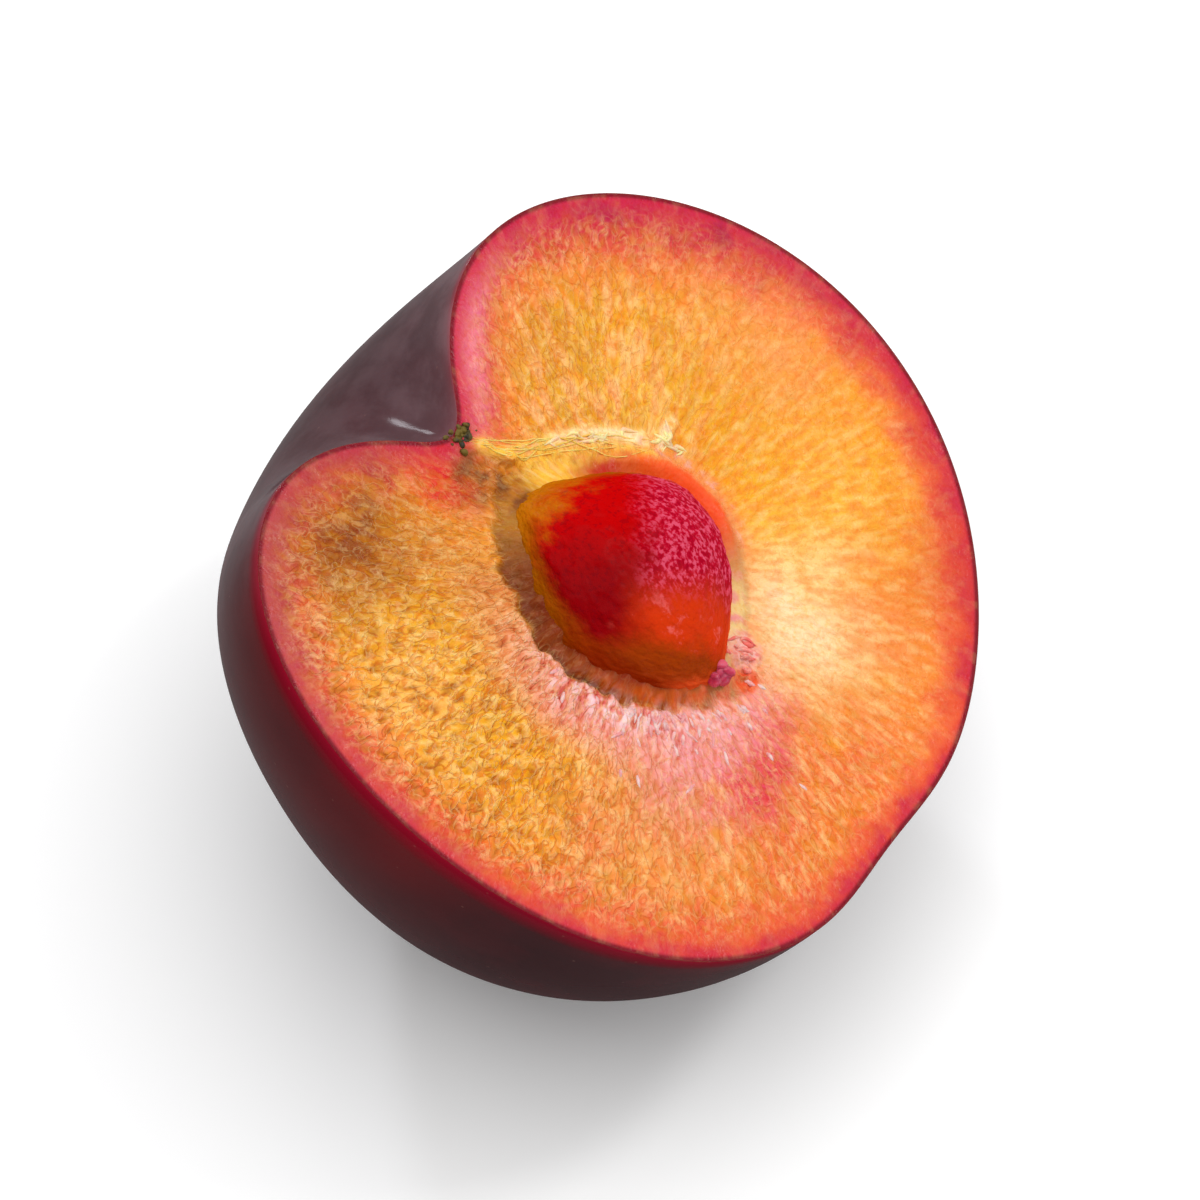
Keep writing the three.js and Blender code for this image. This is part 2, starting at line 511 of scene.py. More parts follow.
@dataclass(frozen=True)
class FleshRelief:
    """Height of the moist, torn flesh above the cut plane."""

    seed: int = 11
    stroke_size: float = 0.56
    stroke_reach: float = 0.46
    stroke_height: float = 0.13
    roll_height: float = 0.16
    collar_height: float = 0.75
    ridge_height: float = 0.5
    raised_lip_height: float = 0.3
    meeting_height: float = 1.9
    stem_side_rise: float = 0.3
    cling_power: float = 1.8
    dip_depth: float = 0.05
    crevice_depth: float = 0.45
    lump_height: float = 0.45

    def torn(self, places: FacePlaces) -> np.ndarray:
        """How strongly the flesh is torn, from 0 where it was cut clean to 1 by the stone's left.

        Args:
            places: The points of the cut face.

        Returns:
            A share from 0 to 1 for each point.
        """
        left = places.toward(178.0, 66.0)
        top = 0.55 * places.toward(60.0, 50.0)
        low = 0.45 * places.toward(-110.0, 35.0)
        near_skin = smooth_step(0.3, 3.5, places.skin_gap)
        return np.clip(0.2 + 0.8 * np.maximum(np.maximum(left, top), low), 0.0, 1.0) * near_skin

    def strokes(self, places: FacePlaces) -> np.ndarray:
        """The strokes alone, from 0 in the furrows to 1 on the crests.

        Args:
            places: The points of the cut face.

        Returns:
            A share from 0 to 1 for each point.
        """
        grain = Grain(self.seed)
        other = Grain(self.seed + 1)
        sway = grain.at(places.flat, 3.2) * 1.5 + other.at(places.flat, 1.1) * 0.8
        round_top = places.toward(70.0, 42.0) * falling(2.0, 4.5, places.lip_gap)
        turn = places.bearing + sway * (1.0 - 0.7 * round_top) + 1.35 * round_top
        heading = np.stack([np.cos(turn), np.sin(turn), np.zeros(len(turn))], axis=1)
        size = self.stroke_size
        reach = self.stroke_reach
        near = grain.strokes(places.flat, heading, size * 1.35, reach * 1.3)
        far = grain.strokes(places.flat + 31.0, heading, size, reach)
        by_stone = falling(1.5, 6.0, places.lip_gap)
        coarse = far + (near - far) * by_stone * places.toward(-170.0, 60.0)
        fine = other.strokes(places.flat, heading, size * 0.55, reach * 0.5)
        return 0.5 + 0.5 * (0.64 * coarse + 0.36 * fine)

    def slope(self, places: FacePlaces) -> np.ndarray:
        """Rise and fall by the stone: a collar on one side, a crevice and clinging flesh on the other.

        Args:
            places: The points of the cut face.

        Returns:
            A height in millimetres for each point.
        """
        grain = Grain(self.seed + 5)
        uneven = grain.layered(places.flat, 1.6, 2)
        right = np.clip(places.toward(5.0, 50.0) * 1.2, 0.0, 1.0)
        crest = places.lip_gap + 0.85 + 0.25 * uneven
        collar = self.collar_height * bell(crest, 0.8)
        collar = collar - 0.8 * smooth_step(0.62, 1.0, places.tuck)
        deep = self.dip_depth + self.crevice_depth * places.toward(-166.0, 30.0)
        crevice = -deep * bell(places.lip_gap + 0.28 + 0.3 * uneven, 0.2)
        stem_side = places.toward(92.0, 34.0)
        open_side = places.toward(-70.0, 26.0)
        meeting = self.meeting_height + self.stem_side_rise * stem_side
        dip = self.dip_depth * (1.0 - stem_side) * (1.0 - open_side)
        inside = smooth_step(0.0, 0.35, places.tuck)
        cling = inside * (-dip + (dip + meeting) * places.tuck**self.cling_power + 0.2 * uneven)
        lump = grain.layered(places.flat + 9.0, 1.0, 3)
        lumps = self.lump_height * inside * (1.0 - 0.6 * places.tuck) * lump
        return right * collar + (1.0 - right) * (crevice + cling + lumps)

    def build(self, places: FacePlaces) -> tuple[np.ndarray, np.ndarray]:
        """Adds it all up.

        Args:
            places: The points to raise.

        Returns:
            The height in millimetres, and the strokes alone from 0 to 1.
        """
        grain = Grain(self.seed + 6)
        fine = self.strokes(places)
        on_slope = smooth_step(0.05, 0.5, places.tuck)
        strength = self.torn(places) * (1.0 - 0.95 * on_slope)
        near_skin = smooth_step(0.0, 1.2, places.skin_gap)
        roll = grain.layered(places.flat, 7.0, 2) * self.roll_height * near_skin * (1.0 - on_slope)
        on_lip = bell(places.lip_gap - 0.9, 0.9)
        raised_lip = self.raised_lip_height * places.toward(-165.0, 62.0) * on_lip
        sway = [grain.at(places.flat, 1.3), grain.at(places.flat + 7.0, 1.3), 0.0 * fine]
        wander = places.flat + 0.9 * np.stack(sway, axis=1)
        broken = 0.35 + 0.65 * smooth_step(-0.5, 0.5, grain.layered(places.flat, 1.2, 2))
        crest = self.ridge_height * (TOP_RIDGE.cover(wander) + 0.8 * RIDGE_SPUR.cover(wander)) * broken
        crest += 0.6 * self.ridge_height * LOWER_FOLD.cover(wander) * broken
        tip_gap = np.hypot(places.flat[:, 0] - 2.8, places.flat[:, 1] + 10.0)
        shreds = 0.7 * falling(0.8, 2.6, tip_gap) * grain.layered(places.flat, 0.7, 2)
        height = (fine - 0.5) * 2.0 * self.stroke_height * strength + roll + raised_lip + crest
        return height + shreds + self.slope(places), fine


@dataclass(frozen=True)
class FleshColours:
    """Colours of the cut face and of the slope by the stone: ripeness colours, with some painted light,
    highlights and shade.
    """

    seed: int = 13
    skin_thickness: float = 0.3

    def build(self, places: FacePlaces, fine: np.ndarray, torn: np.ndarray) -> np.ndarray:
        """Lays one colour over another, from the ripe middle to the skin.

        Args:
            places: The points to colour.
            fine: The strokes from 0 in the furrows to 1 on the crests.
            torn: How strongly the flesh is torn.

        Returns:
            A linear colour for each point.
        """
        grain = Grain(self.seed)
        other = Grain(self.seed + 1)
        flat = places.flat
        across = flat[:, 0] + grain.layered(flat, 3.4, 3) * 2.0
        along = flat[:, 1] + other.layered(flat, 3.4, 3) * 2.0
        colour = np.tile(np.array(AMBER), (len(flat), 1))

        def lay(over: Colour, share: np.ndarray) -> None:
            """Lays one more colour over what is there."""
            colour[:] += (np.array(over) - colour) * np.clip(share, 0.0, 1.0)[:, None]

        for patch in FLESH_PATCHES:
            lay(patch.colour, patch.cover(across, along))
        blot = other.layered(flat, 2.6, 3)
        golden = places.toward(168.0, 52.0) * smooth_step(3.0, 6.5, places.skin_gap)
        lay(TANGERINE, 0.55 * smooth_step(0.1, 0.7, blot) * (1.0 - 0.85 * golden))
        lay(paint(240, 178, 4), 0.5 * golden * smooth_step(-0.4, 0.3, blot))
        lay(GOLD, 0.6 * smooth_step(-0.1, -0.7, blot) * smooth_step(4.0, 8.0, places.skin_gap))
        fleck = grain.strokes(flat, places.outward(), 0.5, 0.7) + 0.9 * grain.layered(flat, 1.3, 3)
        lay(ORANGE, 0.5 * smooth_step(0.1, 1.0, fleck) * (1.0 - 0.7 * golden))
        lay(CREAM, 0.34 * smooth_step(-0.3, -1.1, fleck))
        drawn = other.strokes(flat + 5.0, places.outward(), 0.8, 1.1) + 0.8 * grain.layered(flat, 2.0, 2)
        upper = places.toward(62.0, 44.0) * smooth_step(3.0, 7.0, places.skin_gap)
        lay(paint(218, 156, 10), 0.7 * upper * smooth_step(0.15, 0.9, drawn))
        lay(paint(252, 190, 150), 0.4 * upper * smooth_step(-0.3, -1.0, drawn))
        self.lay_band(places, lay, grain, other)
        for patch in LATE_PATCHES:
            lay(patch.colour, patch.cover(across, along))
        self.lay_strokes(places, lay, fine, torn)
        self.lay_slope(places, lay, other, fine)
        skin_line = falling(self.skin_thickness * 0.6, self.skin_thickness * 1.6, places.skin_gap)
        lay(WINE, skin_line)
        return colour

    @staticmethod
    def lay_band(places: FacePlaces, lay: Lay, grain: Grain, other: Grain) -> None:
        """Lays the red band under the skin.

        Args:
            places: The points to colour.
            lay: Lays one colour over what is there.
            grain: Noise for the band's inner edge.
            other: Noise for its blots.
        """
        wide = 2.3 + 3.2 * places.toward(28.0, 36.0) + 1.3 * places.toward(178.0, 40.0)
        wide += 0.7 * places.toward(-38.0, 24.0)
        corners = 0.8 * places.toward(130.0, 26.0) + 0.8 * places.toward(-135.0, 24.0)
        wide += corners + 0.9 * places.toward(80.0, 16.0)
        gap = places.skin_gap + grain.layered(places.flat, 2.6, 3) * 1.4
        gap = (gap + other.layered(places.flat, 0.8, 2) * 0.5) / wide
        lay(SALMON, 0.9 * falling(0.7, 1.7, gap))
        lay(CORAL, 0.8 * falling(0.35, 1.15, gap))
        cool = np.clip(places.toward(35.0, 62.0) + places.toward(100.0, 30.0), 0.0, 1.0)
        lay(CRIMSON, 0.85 * cool * falling(0.3, 1.15, gap))
        lay(CRIMSON, 0.8 * falling(0.05, 0.62, gap))
        lay(MAUVE, 0.75 * places.toward(138.0, 26.0) * falling(0.35, 1.2, gap))
        blots = smooth_step(0.0, 0.5, other.layered(places.flat, 2.2, 2))
        lay(MAGENTA, 0.85 * blots * places.toward(15.0, 42.0) * falling(0.3, 1.0, gap))
        pink_gap = bell(places.skin_gap - 1.9, 1.0)
        lay(ROSE, 0.8 * places.toward(76.0, 14.0) * pink_gap)

    @staticmethod
    def lay_strokes(places: FacePlaces, lay: Lay, fine: np.ndarray, torn: np.ndarray) -> None:
        """Lays the paler crests and darker furrows of the torn flesh, partly painted wet highlights on the
        crests and painted shade in the furrows.

        Args:
            places: The points to colour.
            lay: Lays one colour over what is there.
            fine: The strokes from 0 to 1.
            torn: How strongly the flesh is torn.
        """
        crest = smooth_step(0.68, 0.96, fine) * torn
        furrow = smooth_step(0.55, 0.15, fine) * torn
        near = falling(1.5, 6.5, places.lip_gap)
        pink = np.clip(places.toward(-150.0, 46.0) * 1.15, 0.0, 1.0) * near
        outside = smooth_step(-0.2, 0.3, places.lip_gap)
        lay(ROSE, 0.6 * pink * outside)
        lay(BLUSH_WHITE, 0.5 * pink * outside)
        lay(GOLD, 0.5 * furrow * (1.0 - pink))
        lay(MUSTARD, 0.3 * furrow * (1.0 - pink))
        lay(MUSTARD, 0.6 * smooth_step(0.25, 0.0, fine) * torn * places.toward(160.0, 50.0))
        lay(CORAL, 0.75 * furrow * pink * outside)
        lay(MAGENTA, 0.35 * smooth_step(0.3, 0.0, fine) * pink * outside)
        olive = np.exp(-(np.hypot(places.flat[:, 0] + 12.4, places.flat[:, 1] - 17.0) ** 2) / 30.0)
        lay(CREAM, 0.5 * (1.0 - pink) * (1.0 - 0.8 * olive) * crest * outside)
        lay(BLUSH_WHITE, 0.85 * pink * crest * outside)

    @staticmethod
    def lay_slope(places: FacePlaces, lay: Lay, other: Grain, fine: np.ndarray) -> None:
        """Lays the colours of the slope between the lip and the stone.

        Args:
            places: The points to colour.
            lay: Lays one colour over what is there.
            other: Noise for uneven edges.
            fine: The strokes from 0 to 1.
        """
        uneven = other.layered(places.flat, 1.2, 3)
        blotch = other.layered(places.flat + 21.0, 0.8, 3)
        fibres = other.strokes(places.flat, places.outward(), 0.4, 0.6) * places.toward(80.0, 26.0)
        right = np.clip(places.toward(8.0, 46.0) * 1.3, 0.0, 1.0)
        gap = places.lip_gap + 0.5 * uneven
        lay(PEACH, 0.85 * right * falling(0.0, 1.6, gap))
        lay(BLUSH_WHITE, 0.5 * right * smooth_step(0.0, 0.6, blotch) * bell(gap - 0.5, 0.6))
        lay(FLAME, 0.97 * right * falling(-0.9, 0.1, gap))
        left = 1.0 - right
        slope = left * falling(-0.6, 0.35, gap + 0.15 * fibres)
        lay(paint(144, 60, 0), 0.98 * slope)
        lay(
            paint(156, 84, 0), 0.9 * slope * places.toward(108.0, 22.0) * smooth_step(-0.7, 0.1, uneven + 0.2)
        )
        lay(paint(212, 88, 0), 0.9 * slope * smooth_step(-0.6, 0.3, uneven) * places.toward(-125.0, 46.0))
        lay(paint(112, 32, 0), 0.4 * slope * smooth_step(0.0, 0.7, -blotch))
        lay(paint(98, 34, 0), 0.75 * slope * places.toward(148.0, 36.0) * smooth_step(-0.8, 0.2, uneven))
        lay(
            paint(130, 26, 0),
            0.85 * left * smooth_step(0.4, 0.8, places.tuck + 0.15 * uneven) * places.toward(-150.0, 60.0),
        )
        by_stone = falling(-0.6, 0.35, gap)
        lay(YELLOW, 0.97 * places.toward(80.0, 32.0) * by_stone * smooth_step(-1.1, 0.0, uneven))
        lay(PEACH, 0.6 * places.toward(62.0, 22.0) * by_stone * smooth_step(-0.2, 0.5, blotch))
        lay(CREAM, 0.5 * places.toward(90.0, 30.0) * slope * smooth_step(0.3, 0.9, fibres))
        open_side = np.clip(1.3 * places.toward(-66.0, 26.0), 0.0, 1.0)
        lay(CREAM, open_side * slope)
        lay(ROSE, 0.8 * open_side * slope * smooth_step(-0.1, 0.5, uneven))
        lay(CORAL, 0.85 * places.toward(-99.0, 13.0) * slope * smooth_step(-0.3, 0.4, uneven))
        stained = places.toward(52.0, 17.0) * smooth_step(0.22, 0.45, places.tuck + 0.12 * uneven)
        lay(paint(188, 6, 8), 0.95 * stained)
        # Painted shade: dark umber in the crevice inside the lip on the lower left, where the flesh meets the
        # stone's flank.
        crevice = bell(places.lip_gap + 0.28 + 0.3 * uneven, 0.17)
        lay(CREVICE_SHADE_UMBER, crevice * left * 0.8 * places.toward(-166.0, 26.0) * smooth_step(-0.5, 0.1, blotch + 0.3))
        channel = places.toward(103.0, 9.0) * falling(2.2, 4.4, places.lip_gap)
        lay(MUSTARD, 0.8 * channel)
        lay(paint(110, 50, 2), 0.9 * channel * smooth_step(-0.3, 0.4, uneven))
        orange_spot = np.hypot(places.flat[:, 0] - 2.0, places.flat[:, 1] + 10.9) + 0.7 * uneven
        lay(FLAME, 0.9 * falling(0.5, 1.5, orange_spot))
        lay(RUST, 0.8 * falling(0.2, 1.2, orange_spot) * smooth_step(0.0, 0.4, blotch))
        pink_spot = np.hypot(places.flat[:, 0] - 3.7, places.flat[:, 1] + 9.4) + 0.9 * uneven
        lay(BLUSH_WHITE, 0.85 * falling(0.6, 1.9, pink_spot))
        lay(CORAL, 0.8 * falling(0.4, 1.8, pink_spot) * smooth_step(0.0, 0.35, blotch))
        # Pale pink along the lower-left lip: partly pale torn flesh, partly a painted wet highlight.
        rim = bell(places.lip_gap - 1.1, 1.2) * places.toward(-142.0, 32.0)
        lay(paint(252, 216, 224), 0.8 * rim * smooth_step(0.3, 0.75, fine + 0.25 * blotch))
        broken = smooth_step(-0.7, 0.2, uneven)
        lay(YELLOW, 0.8 * LOWER_FOLD.cover(places.flat))
        ridge = np.maximum(TOP_RIDGE.cover(places.flat), RIDGE_SPUR.cover(places.flat))
        lay(YELLOW, np.clip(1.2 * ridge, 0.0, 1.0) * broken)
        lay(
            paint(254, 228, 176),
            np.clip(1.3 * ridge, 0.0, 1.0) * broken * smooth_step(4.0, 7.5, places.flat[:, 0]),
        )
        lay(BLUSH_WHITE, 0.5 * ridge**2 * smooth_step(0.1, 0.6, blotch))


class Meshes:
    """Turns arrays of points and faces into placed Blender objects."""

    @staticmethod
    def make(name: str, points: np.ndarray, faces: list[tuple[int, ...]]) -> bpy.types.Object:
        """Makes one smooth object at the origin.

        Args:
            name: The object's plain name.
            points: An array of N by 3, in metres in the row frame.
            faces: Corner numbers of each face.

        Returns:
            The new object, linked to the scene.
        """
        mesh = bpy.data.meshes.new(name)
        mesh.from_pydata(points.tolist(), [], faces)
        mesh.validate()
        mesh.polygons.foreach_set("use_smooth", [True] * len(mesh.polygons))
        return Meshes.link(name, mesh)

    @staticmethod
    def link(name: str, data: bpy.types.ID) -> bpy.types.Object:
        """Makes an object for a mesh, a camera or a light, and links it to the scene.

        Args:
            name: The object's plain name.
            data: What it shows.

        Returns:
            The new object.
        """
        thing = bpy.data.objects.new(name, data)
        bpy.context.scene.collection.objects.link(thing)
        return thing

    @staticmethod
    def face_outward(thing: bpy.types.Object) -> None:
        """Recalculates the normals of a closed mesh so that they point out.

        Args:
            thing: The object whose mesh is turned.
        """
        work = bmesh.new()
        work.from_mesh(thing.data)
        bmesh.ops.recalc_face_normals(work, faces=work.faces)
        if work.calc_volume(signed=True) < 0:
            bmesh.ops.reverse_faces(work, faces=work.faces)
        work.to_mesh(thing.data)
        work.free()

    @staticmethod
    def store(thing: bpy.types.Object, name: str, values: np.ndarray) -> None:
        """Stores a number or a vector for each point of a mesh.

        Args:
            thing: The object whose mesh gets the attribute.
            name: The attribute's name.
            values: An array of N, or of N by 3.
        """
        if values.ndim == 1:
            layer = thing.data.attributes.new(name, "FLOAT", "POINT")
            layer.data.foreach_set("value", values.astype(np.float32))
            return
        layer = thing.data.attributes.new(name, "FLOAT_VECTOR", "POINT")
        layer.data.foreach_set("vector", values.astype(np.float32).ravel())


class Tree:
    """A small hand for wiring shader and geometry node trees."""

    def __init__(self, tree: bpy.types.NodeTree) -> None:
        """Keeps the tree that nodes are added to."""
        self.tree = tree

    def add(self, kind: str, values: dict | None = None, **settings: object) -> bpy.types.Node:
        """Adds a node.

        Args:
            kind: Blender's name of the node type.
            values: Input values or sockets to link, by input name or number.
            settings: Properties of the node itself.

        Returns:
            The new node.
        """
        node = self.tree.nodes.new(kind)
        for key, value in settings.items():
            setattr(node, key, value)
        for key, value in (values or {}).items():
            self.feed(node.inputs[key], value)
        return node

    def feed(self, socket: bpy.types.NodeSocket, value: object) -> None:
        """Links a socket to the input, or sets the input's own value.

        Args:
            socket: The input.
            value: A socket, a number, a colour or a vector.
        """
        if isinstance(value, bpy.types.NodeSocket):
            self.tree.links.new(value, socket)
        elif isinstance(value, tuple) and socket.type == "RGBA" and len(value) == 3:
            socket.default_value = (*value, 1.0)
        else:
            socket.default_value = value

    def math(self, operation: str, *numbers: object) -> bpy.types.NodeSocket:
        """One sum on numbers, and its result."""
        return self.add("ShaderNodeMath", dict(enumerate(numbers)), operation=operation).outputs[0]

    def times(self, first: object, second: object) -> bpy.types.NodeSocket:
        """One number times another."""
        return self.math("MULTIPLY", first, second)

    def scaled(self, vector: object, size: object) -> bpy.types.NodeSocket:
        """A vector times a number."""
        values = {0: vector, "Scale": size}
        return self.add("ShaderNodeVectorMath", values, operation="SCALE").outputs[0]

    def dot(self, vector: object, heading: Point) -> bpy.types.NodeSocket:
        """How far a vector reaches along a heading."""
        values = {0: vector, 1: heading}
        return self.add("ShaderNodeVectorMath", values, operation="DOT_PRODUCT").outputs["Value"]

    def noise(
        self, vector: object, scale: object, detail: float, roughness: float = 0.5
    ) -> bpy.types.NodeSocket:
        """Soft noise of about 0 to 1.

        Args:
            vector: The coordinates that the noise follows.
            scale: Noise cells to a unit.
            detail: How many finer layers are added.
            roughness: How strong those are.

        Returns:
            The noise's socket.
        """
        values = {"Vector": vector, "Scale": scale, "Detail": detail, "Roughness": roughness}
        return self.add("ShaderNodeTexNoise", values).outputs["Fac"]

    def span(
        self, value: object, low: object, high: object, to_low: float = 0.0, to_high: float = 1.0
    ) -> bpy.types.NodeSocket:
        """Maps a span of numbers smoothly onto another, and clamps it.

        Args:
            value: The number or socket to map.
            low: Where the span starts.
            high: Where the span ends.
            to_low: The result at the start.
            to_high: The result at the end.

        Returns:
            The mapped number's socket.
        """
        ends = {"Value": value, "From Min": low, "From Max": high, "To Min": to_low, "To Max": to_high}
        return self.add("ShaderNodeMapRange", ends, interpolation_type="SMOOTHSTEP").outputs["Result"]

    def blend(self, share: object, first: object, second: object, mode: str = "MIX") -> bpy.types.NodeSocket:
        """Blends two colours.

        Args:
            share: How much of the second colour shows.
            first: The colour below.
            second: The colour above.
            mode: Blender's blend type.

        Returns:
            The blended colour's socket.
        """
        values = {0: share, 6: first, 7: second}
        return self.add("ShaderNodeMix", values, data_type="RGBA", blend_type=mode).outputs[2]

    def lay(self, below: object, mask: object, share: float, above: object) -> bpy.types.NodeSocket:
        """Lays one colour over another where a mask shows it.

        Args:
            below: The colour below.
            mask: Where the colour above shows.
            share: How strongly it shows there.
            above: The colour above.

        Returns:
            The blended colour's socket.
        """
        return self.blend(self.times(mask, share), below, above)

    def read(self, name: str, kind: str = "Vector") -> bpy.types.NodeSocket:
        """Reads one of the mesh's own attributes in a material."""
        return self.add("ShaderNodeAttribute", attribute_name=name).outputs[kind]

    def bump(
        self, height: object, depth_mm: float, strength: float, under: object = None
    ) -> bpy.types.NodeSocket:
        """A bump of the given depth, and its normal.

        Args:
            height: The height to follow.
            depth_mm: Its depth in millimetres.
            strength: How much of it shows.
            under: The normal of a coarser bump below it.

        Returns:
            The normal's socket.
        """
        values = {"Height": height, "Distance": depth_mm * MM, "Strength": strength}
        if under is not None:
            values["Normal"] = under
        return self.add("ShaderNodeBump", values).outputs["Normal"]

    def place(self, group: bpy.types.NodeTree, vector: object, **values: float) -> bpy.types.NodeSocket:
        """Places a shared shader group with its own values.

        Args:
            group: The group, which has the input Vector and the output Mask.
            vector: The coordinates that its pattern follows.
            values: Its other inputs by name.

        Returns:
            The mask's socket.
        """
        return self.add("ShaderNodeGroup", {"Vector": vector, **values}, node_tree=group).outputs["Mask"]


class SharedGroups:
    """Shader node groups that several finishes use."""

    @staticmethod
    def begin(name: str, numbers: dict[str, float]) -> Tree:
        """Starts a group with the input Vector, the given numbers and the output Mask.

        Args:
            name: The group's plain name.
            numbers: The starting value of each number, by its input's name.

        Returns:
            The group's hand.
        """
        group = bpy.data.node_groups.new(name, "ShaderNodeTree")
        sides = group.interface
        sides.new_socket("Vector", in_out="INPUT", socket_type="NodeSocketVector")
        for label, start in numbers.items():
            sides.new_socket(label, in_out="INPUT", socket_type="NodeSocketFloat").default_value = start
        sides.new_socket("Mask", in_out="OUTPUT", socket_type="NodeSocketFloat")
        return Tree(group)

    @classmethod
    def mottle(cls) -> bpy.types.NodeTree:
        """A soft-edged mask of uneven blots.

        Returns:
            A group with the inputs Vector, Scale, Low and High, and the output Mask.
        """
        name = "mottle"
        if name in bpy.data.node_groups:
            return bpy.data.node_groups[name]
        wires = cls.begin(name, {"Scale": 1.0, "Low": 0.4, "High": 0.6})
        start = wires.add("NodeGroupInput").outputs
        noise = wires.noise(start["Vector"], start["Scale"], 5.0, 0.6)
        wires.add("NodeGroupOutput", {"Mask": wires.span(noise, start["Low"], start["High"])})
        return wires.tree

    @classmethod
    def wrinkles(cls) -> bpy.types.NodeTree:
        """A mask of thin winding lines.

        Returns:
            A group with the inputs Vector, Scale and Width, and the output Mask.
        """
        name = "wrinkles"
        if name in bpy.data.node_groups:
            return bpy.data.node_groups[name]
        wires = cls.begin(name, {"Scale": 1.0, "Width": 0.05})
        start = wires.add("NodeGroupInput").outputs
        noise = wires.noise(start["Vector"], start["Scale"], 1.5)
        noise.node.inputs["Distortion"].default_value = 0.8
        off = wires.math("ABSOLUTE", wires.math("SUBTRACT", noise, 0.5))
        wires.add("NodeGroupOutput", {"Mask": wires.span(off, start["Width"], 0.0)})
        return wires.tree


class Finish:
    """What every finish shares: a fresh material with one Principled shader."""

    def __init__(self, name: str) -> None:
        """Makes the material under its plain name.

        Args:
            name: The material's plain name.
        """
        self.material = bpy.data.materials.new(name)
        self.material.use_nodes = True
        self.wires = Tree(self.material.node_tree)

    def dress(self, values: dict[str, object]) -> bpy.types.Material:
        """Links what changes over the surface to the shader, and sets the rest on its own sockets.

        Args:
            values: What each of the shader's sockets gets, by the socket's name.

        Returns:
            The finished material.
        """
        shader = self.material.node_tree.nodes["Principled BSDF"]
        for label, value in values.items():
            self.wires.feed(shader.inputs[label], value)
        return self.material


@dataclass(frozen=True)
class FleshFinish:
    """Moist flesh whose crests are paler, partly a painted wet highlight, and whose furrows are darker,
    partly painted shade.
    """

    roughness: float = 0.33
    subsurface: float = 0.18
    subsurface_scale: float = 0.0012
    subsurface_radius: Point = (1.0, 0.42, 0.2)
    specular_level: float = 0.18
    fine_bump_mm: float = 0.1
    fibre_bump_mm: float = 0.12
    fold_bump_mm: float = 0.07
    crest_shift: Point = (31.0, 7.0, 3.0)

    def build(self) -> bpy.types.Material:
        """Builds the material.

        Returns:
            The finished material.
        """
        finish = Finish("moist_flesh")
        wires = finish.wires
        tint = wires.read("tint", "Color")
        fibre = wires.read("fibre")
        place = wires.read("place")
        torn = wires.read("torn", "Fac")
        specks = wires.place(SharedGroups.mottle(), place, Scale=2.3, Low=0.46, High=0.7)
        deep = wires.blend(1.0, tint, paint(250, 216, 150), "MULTIPLY")
        colour = wires.lay(tint, specks, 0.6, deep)
        drawn_out = wires.math("SUBTRACT", 1.0, wires.read("smooth", "Fac"))
        threads = wires.place(SharedGroups.mottle(), fibre, Scale=1.6, Low=0.48, High=0.68)
        colour = wires.lay(colour, wires.times(threads, drawn_out), 0.13, CREAM)
        drawn = wires.add("ShaderNodeVectorMath", {0: place, 1: fibre}, operation="ADD").outputs[0]
        furrows = wires.place(SharedGroups.wrinkles(), drawn, Scale=0.75, Width=0.085)
        beside = wires.add("ShaderNodeMapping", {"Vector": drawn, "Location": self.crest_shift}).outputs[0]
        crests = wires.place(SharedGroups.wrinkles(), beside, Scale=0.8, Width=0.07)
        # The furrow lines are darkened as painted shade, and the crest lines lightened as a painted wet
        # highlight.
        cut = wires.times(furrows, torn)
        colour = wires.lay(colour, cut, 0.65, wires.blend(1.0, colour, paint(232, 164, 50), "MULTIPLY"))
        lit = wires.times(crests, torn)
        colour = wires.lay(colour, lit, 0.26, paint(255, 218, 150))
        relief = wires.read("relief", "Fac")
        folds = wires.bump(wires.math("SUBTRACT", lit, cut), self.fold_bump_mm, 0.8)
        strands = wires.times(wires.noise(fibre, 2.0, 3.0, 0.6), drawn_out)
        strand_bump = wires.bump(strands, self.fibre_bump_mm, 0.7, folds)
        return finish.dress({
            "Base Color": colour,
            "Roughness": wires.span(relief, 0.2, 0.9, self.roughness + 0.15, self.roughness - 0.08),
            "Normal": wires.bump(wires.noise(place, 3.6, 3.0), self.fine_bump_mm, 0.6, strand_bump),
            "Subsurface Weight": self.subsurface,
            "Subsurface Radius": self.subsurface_radius,
            "Subsurface Scale": self.subsurface_scale,
            "Specular IOR Level": self.specular_level,
        })


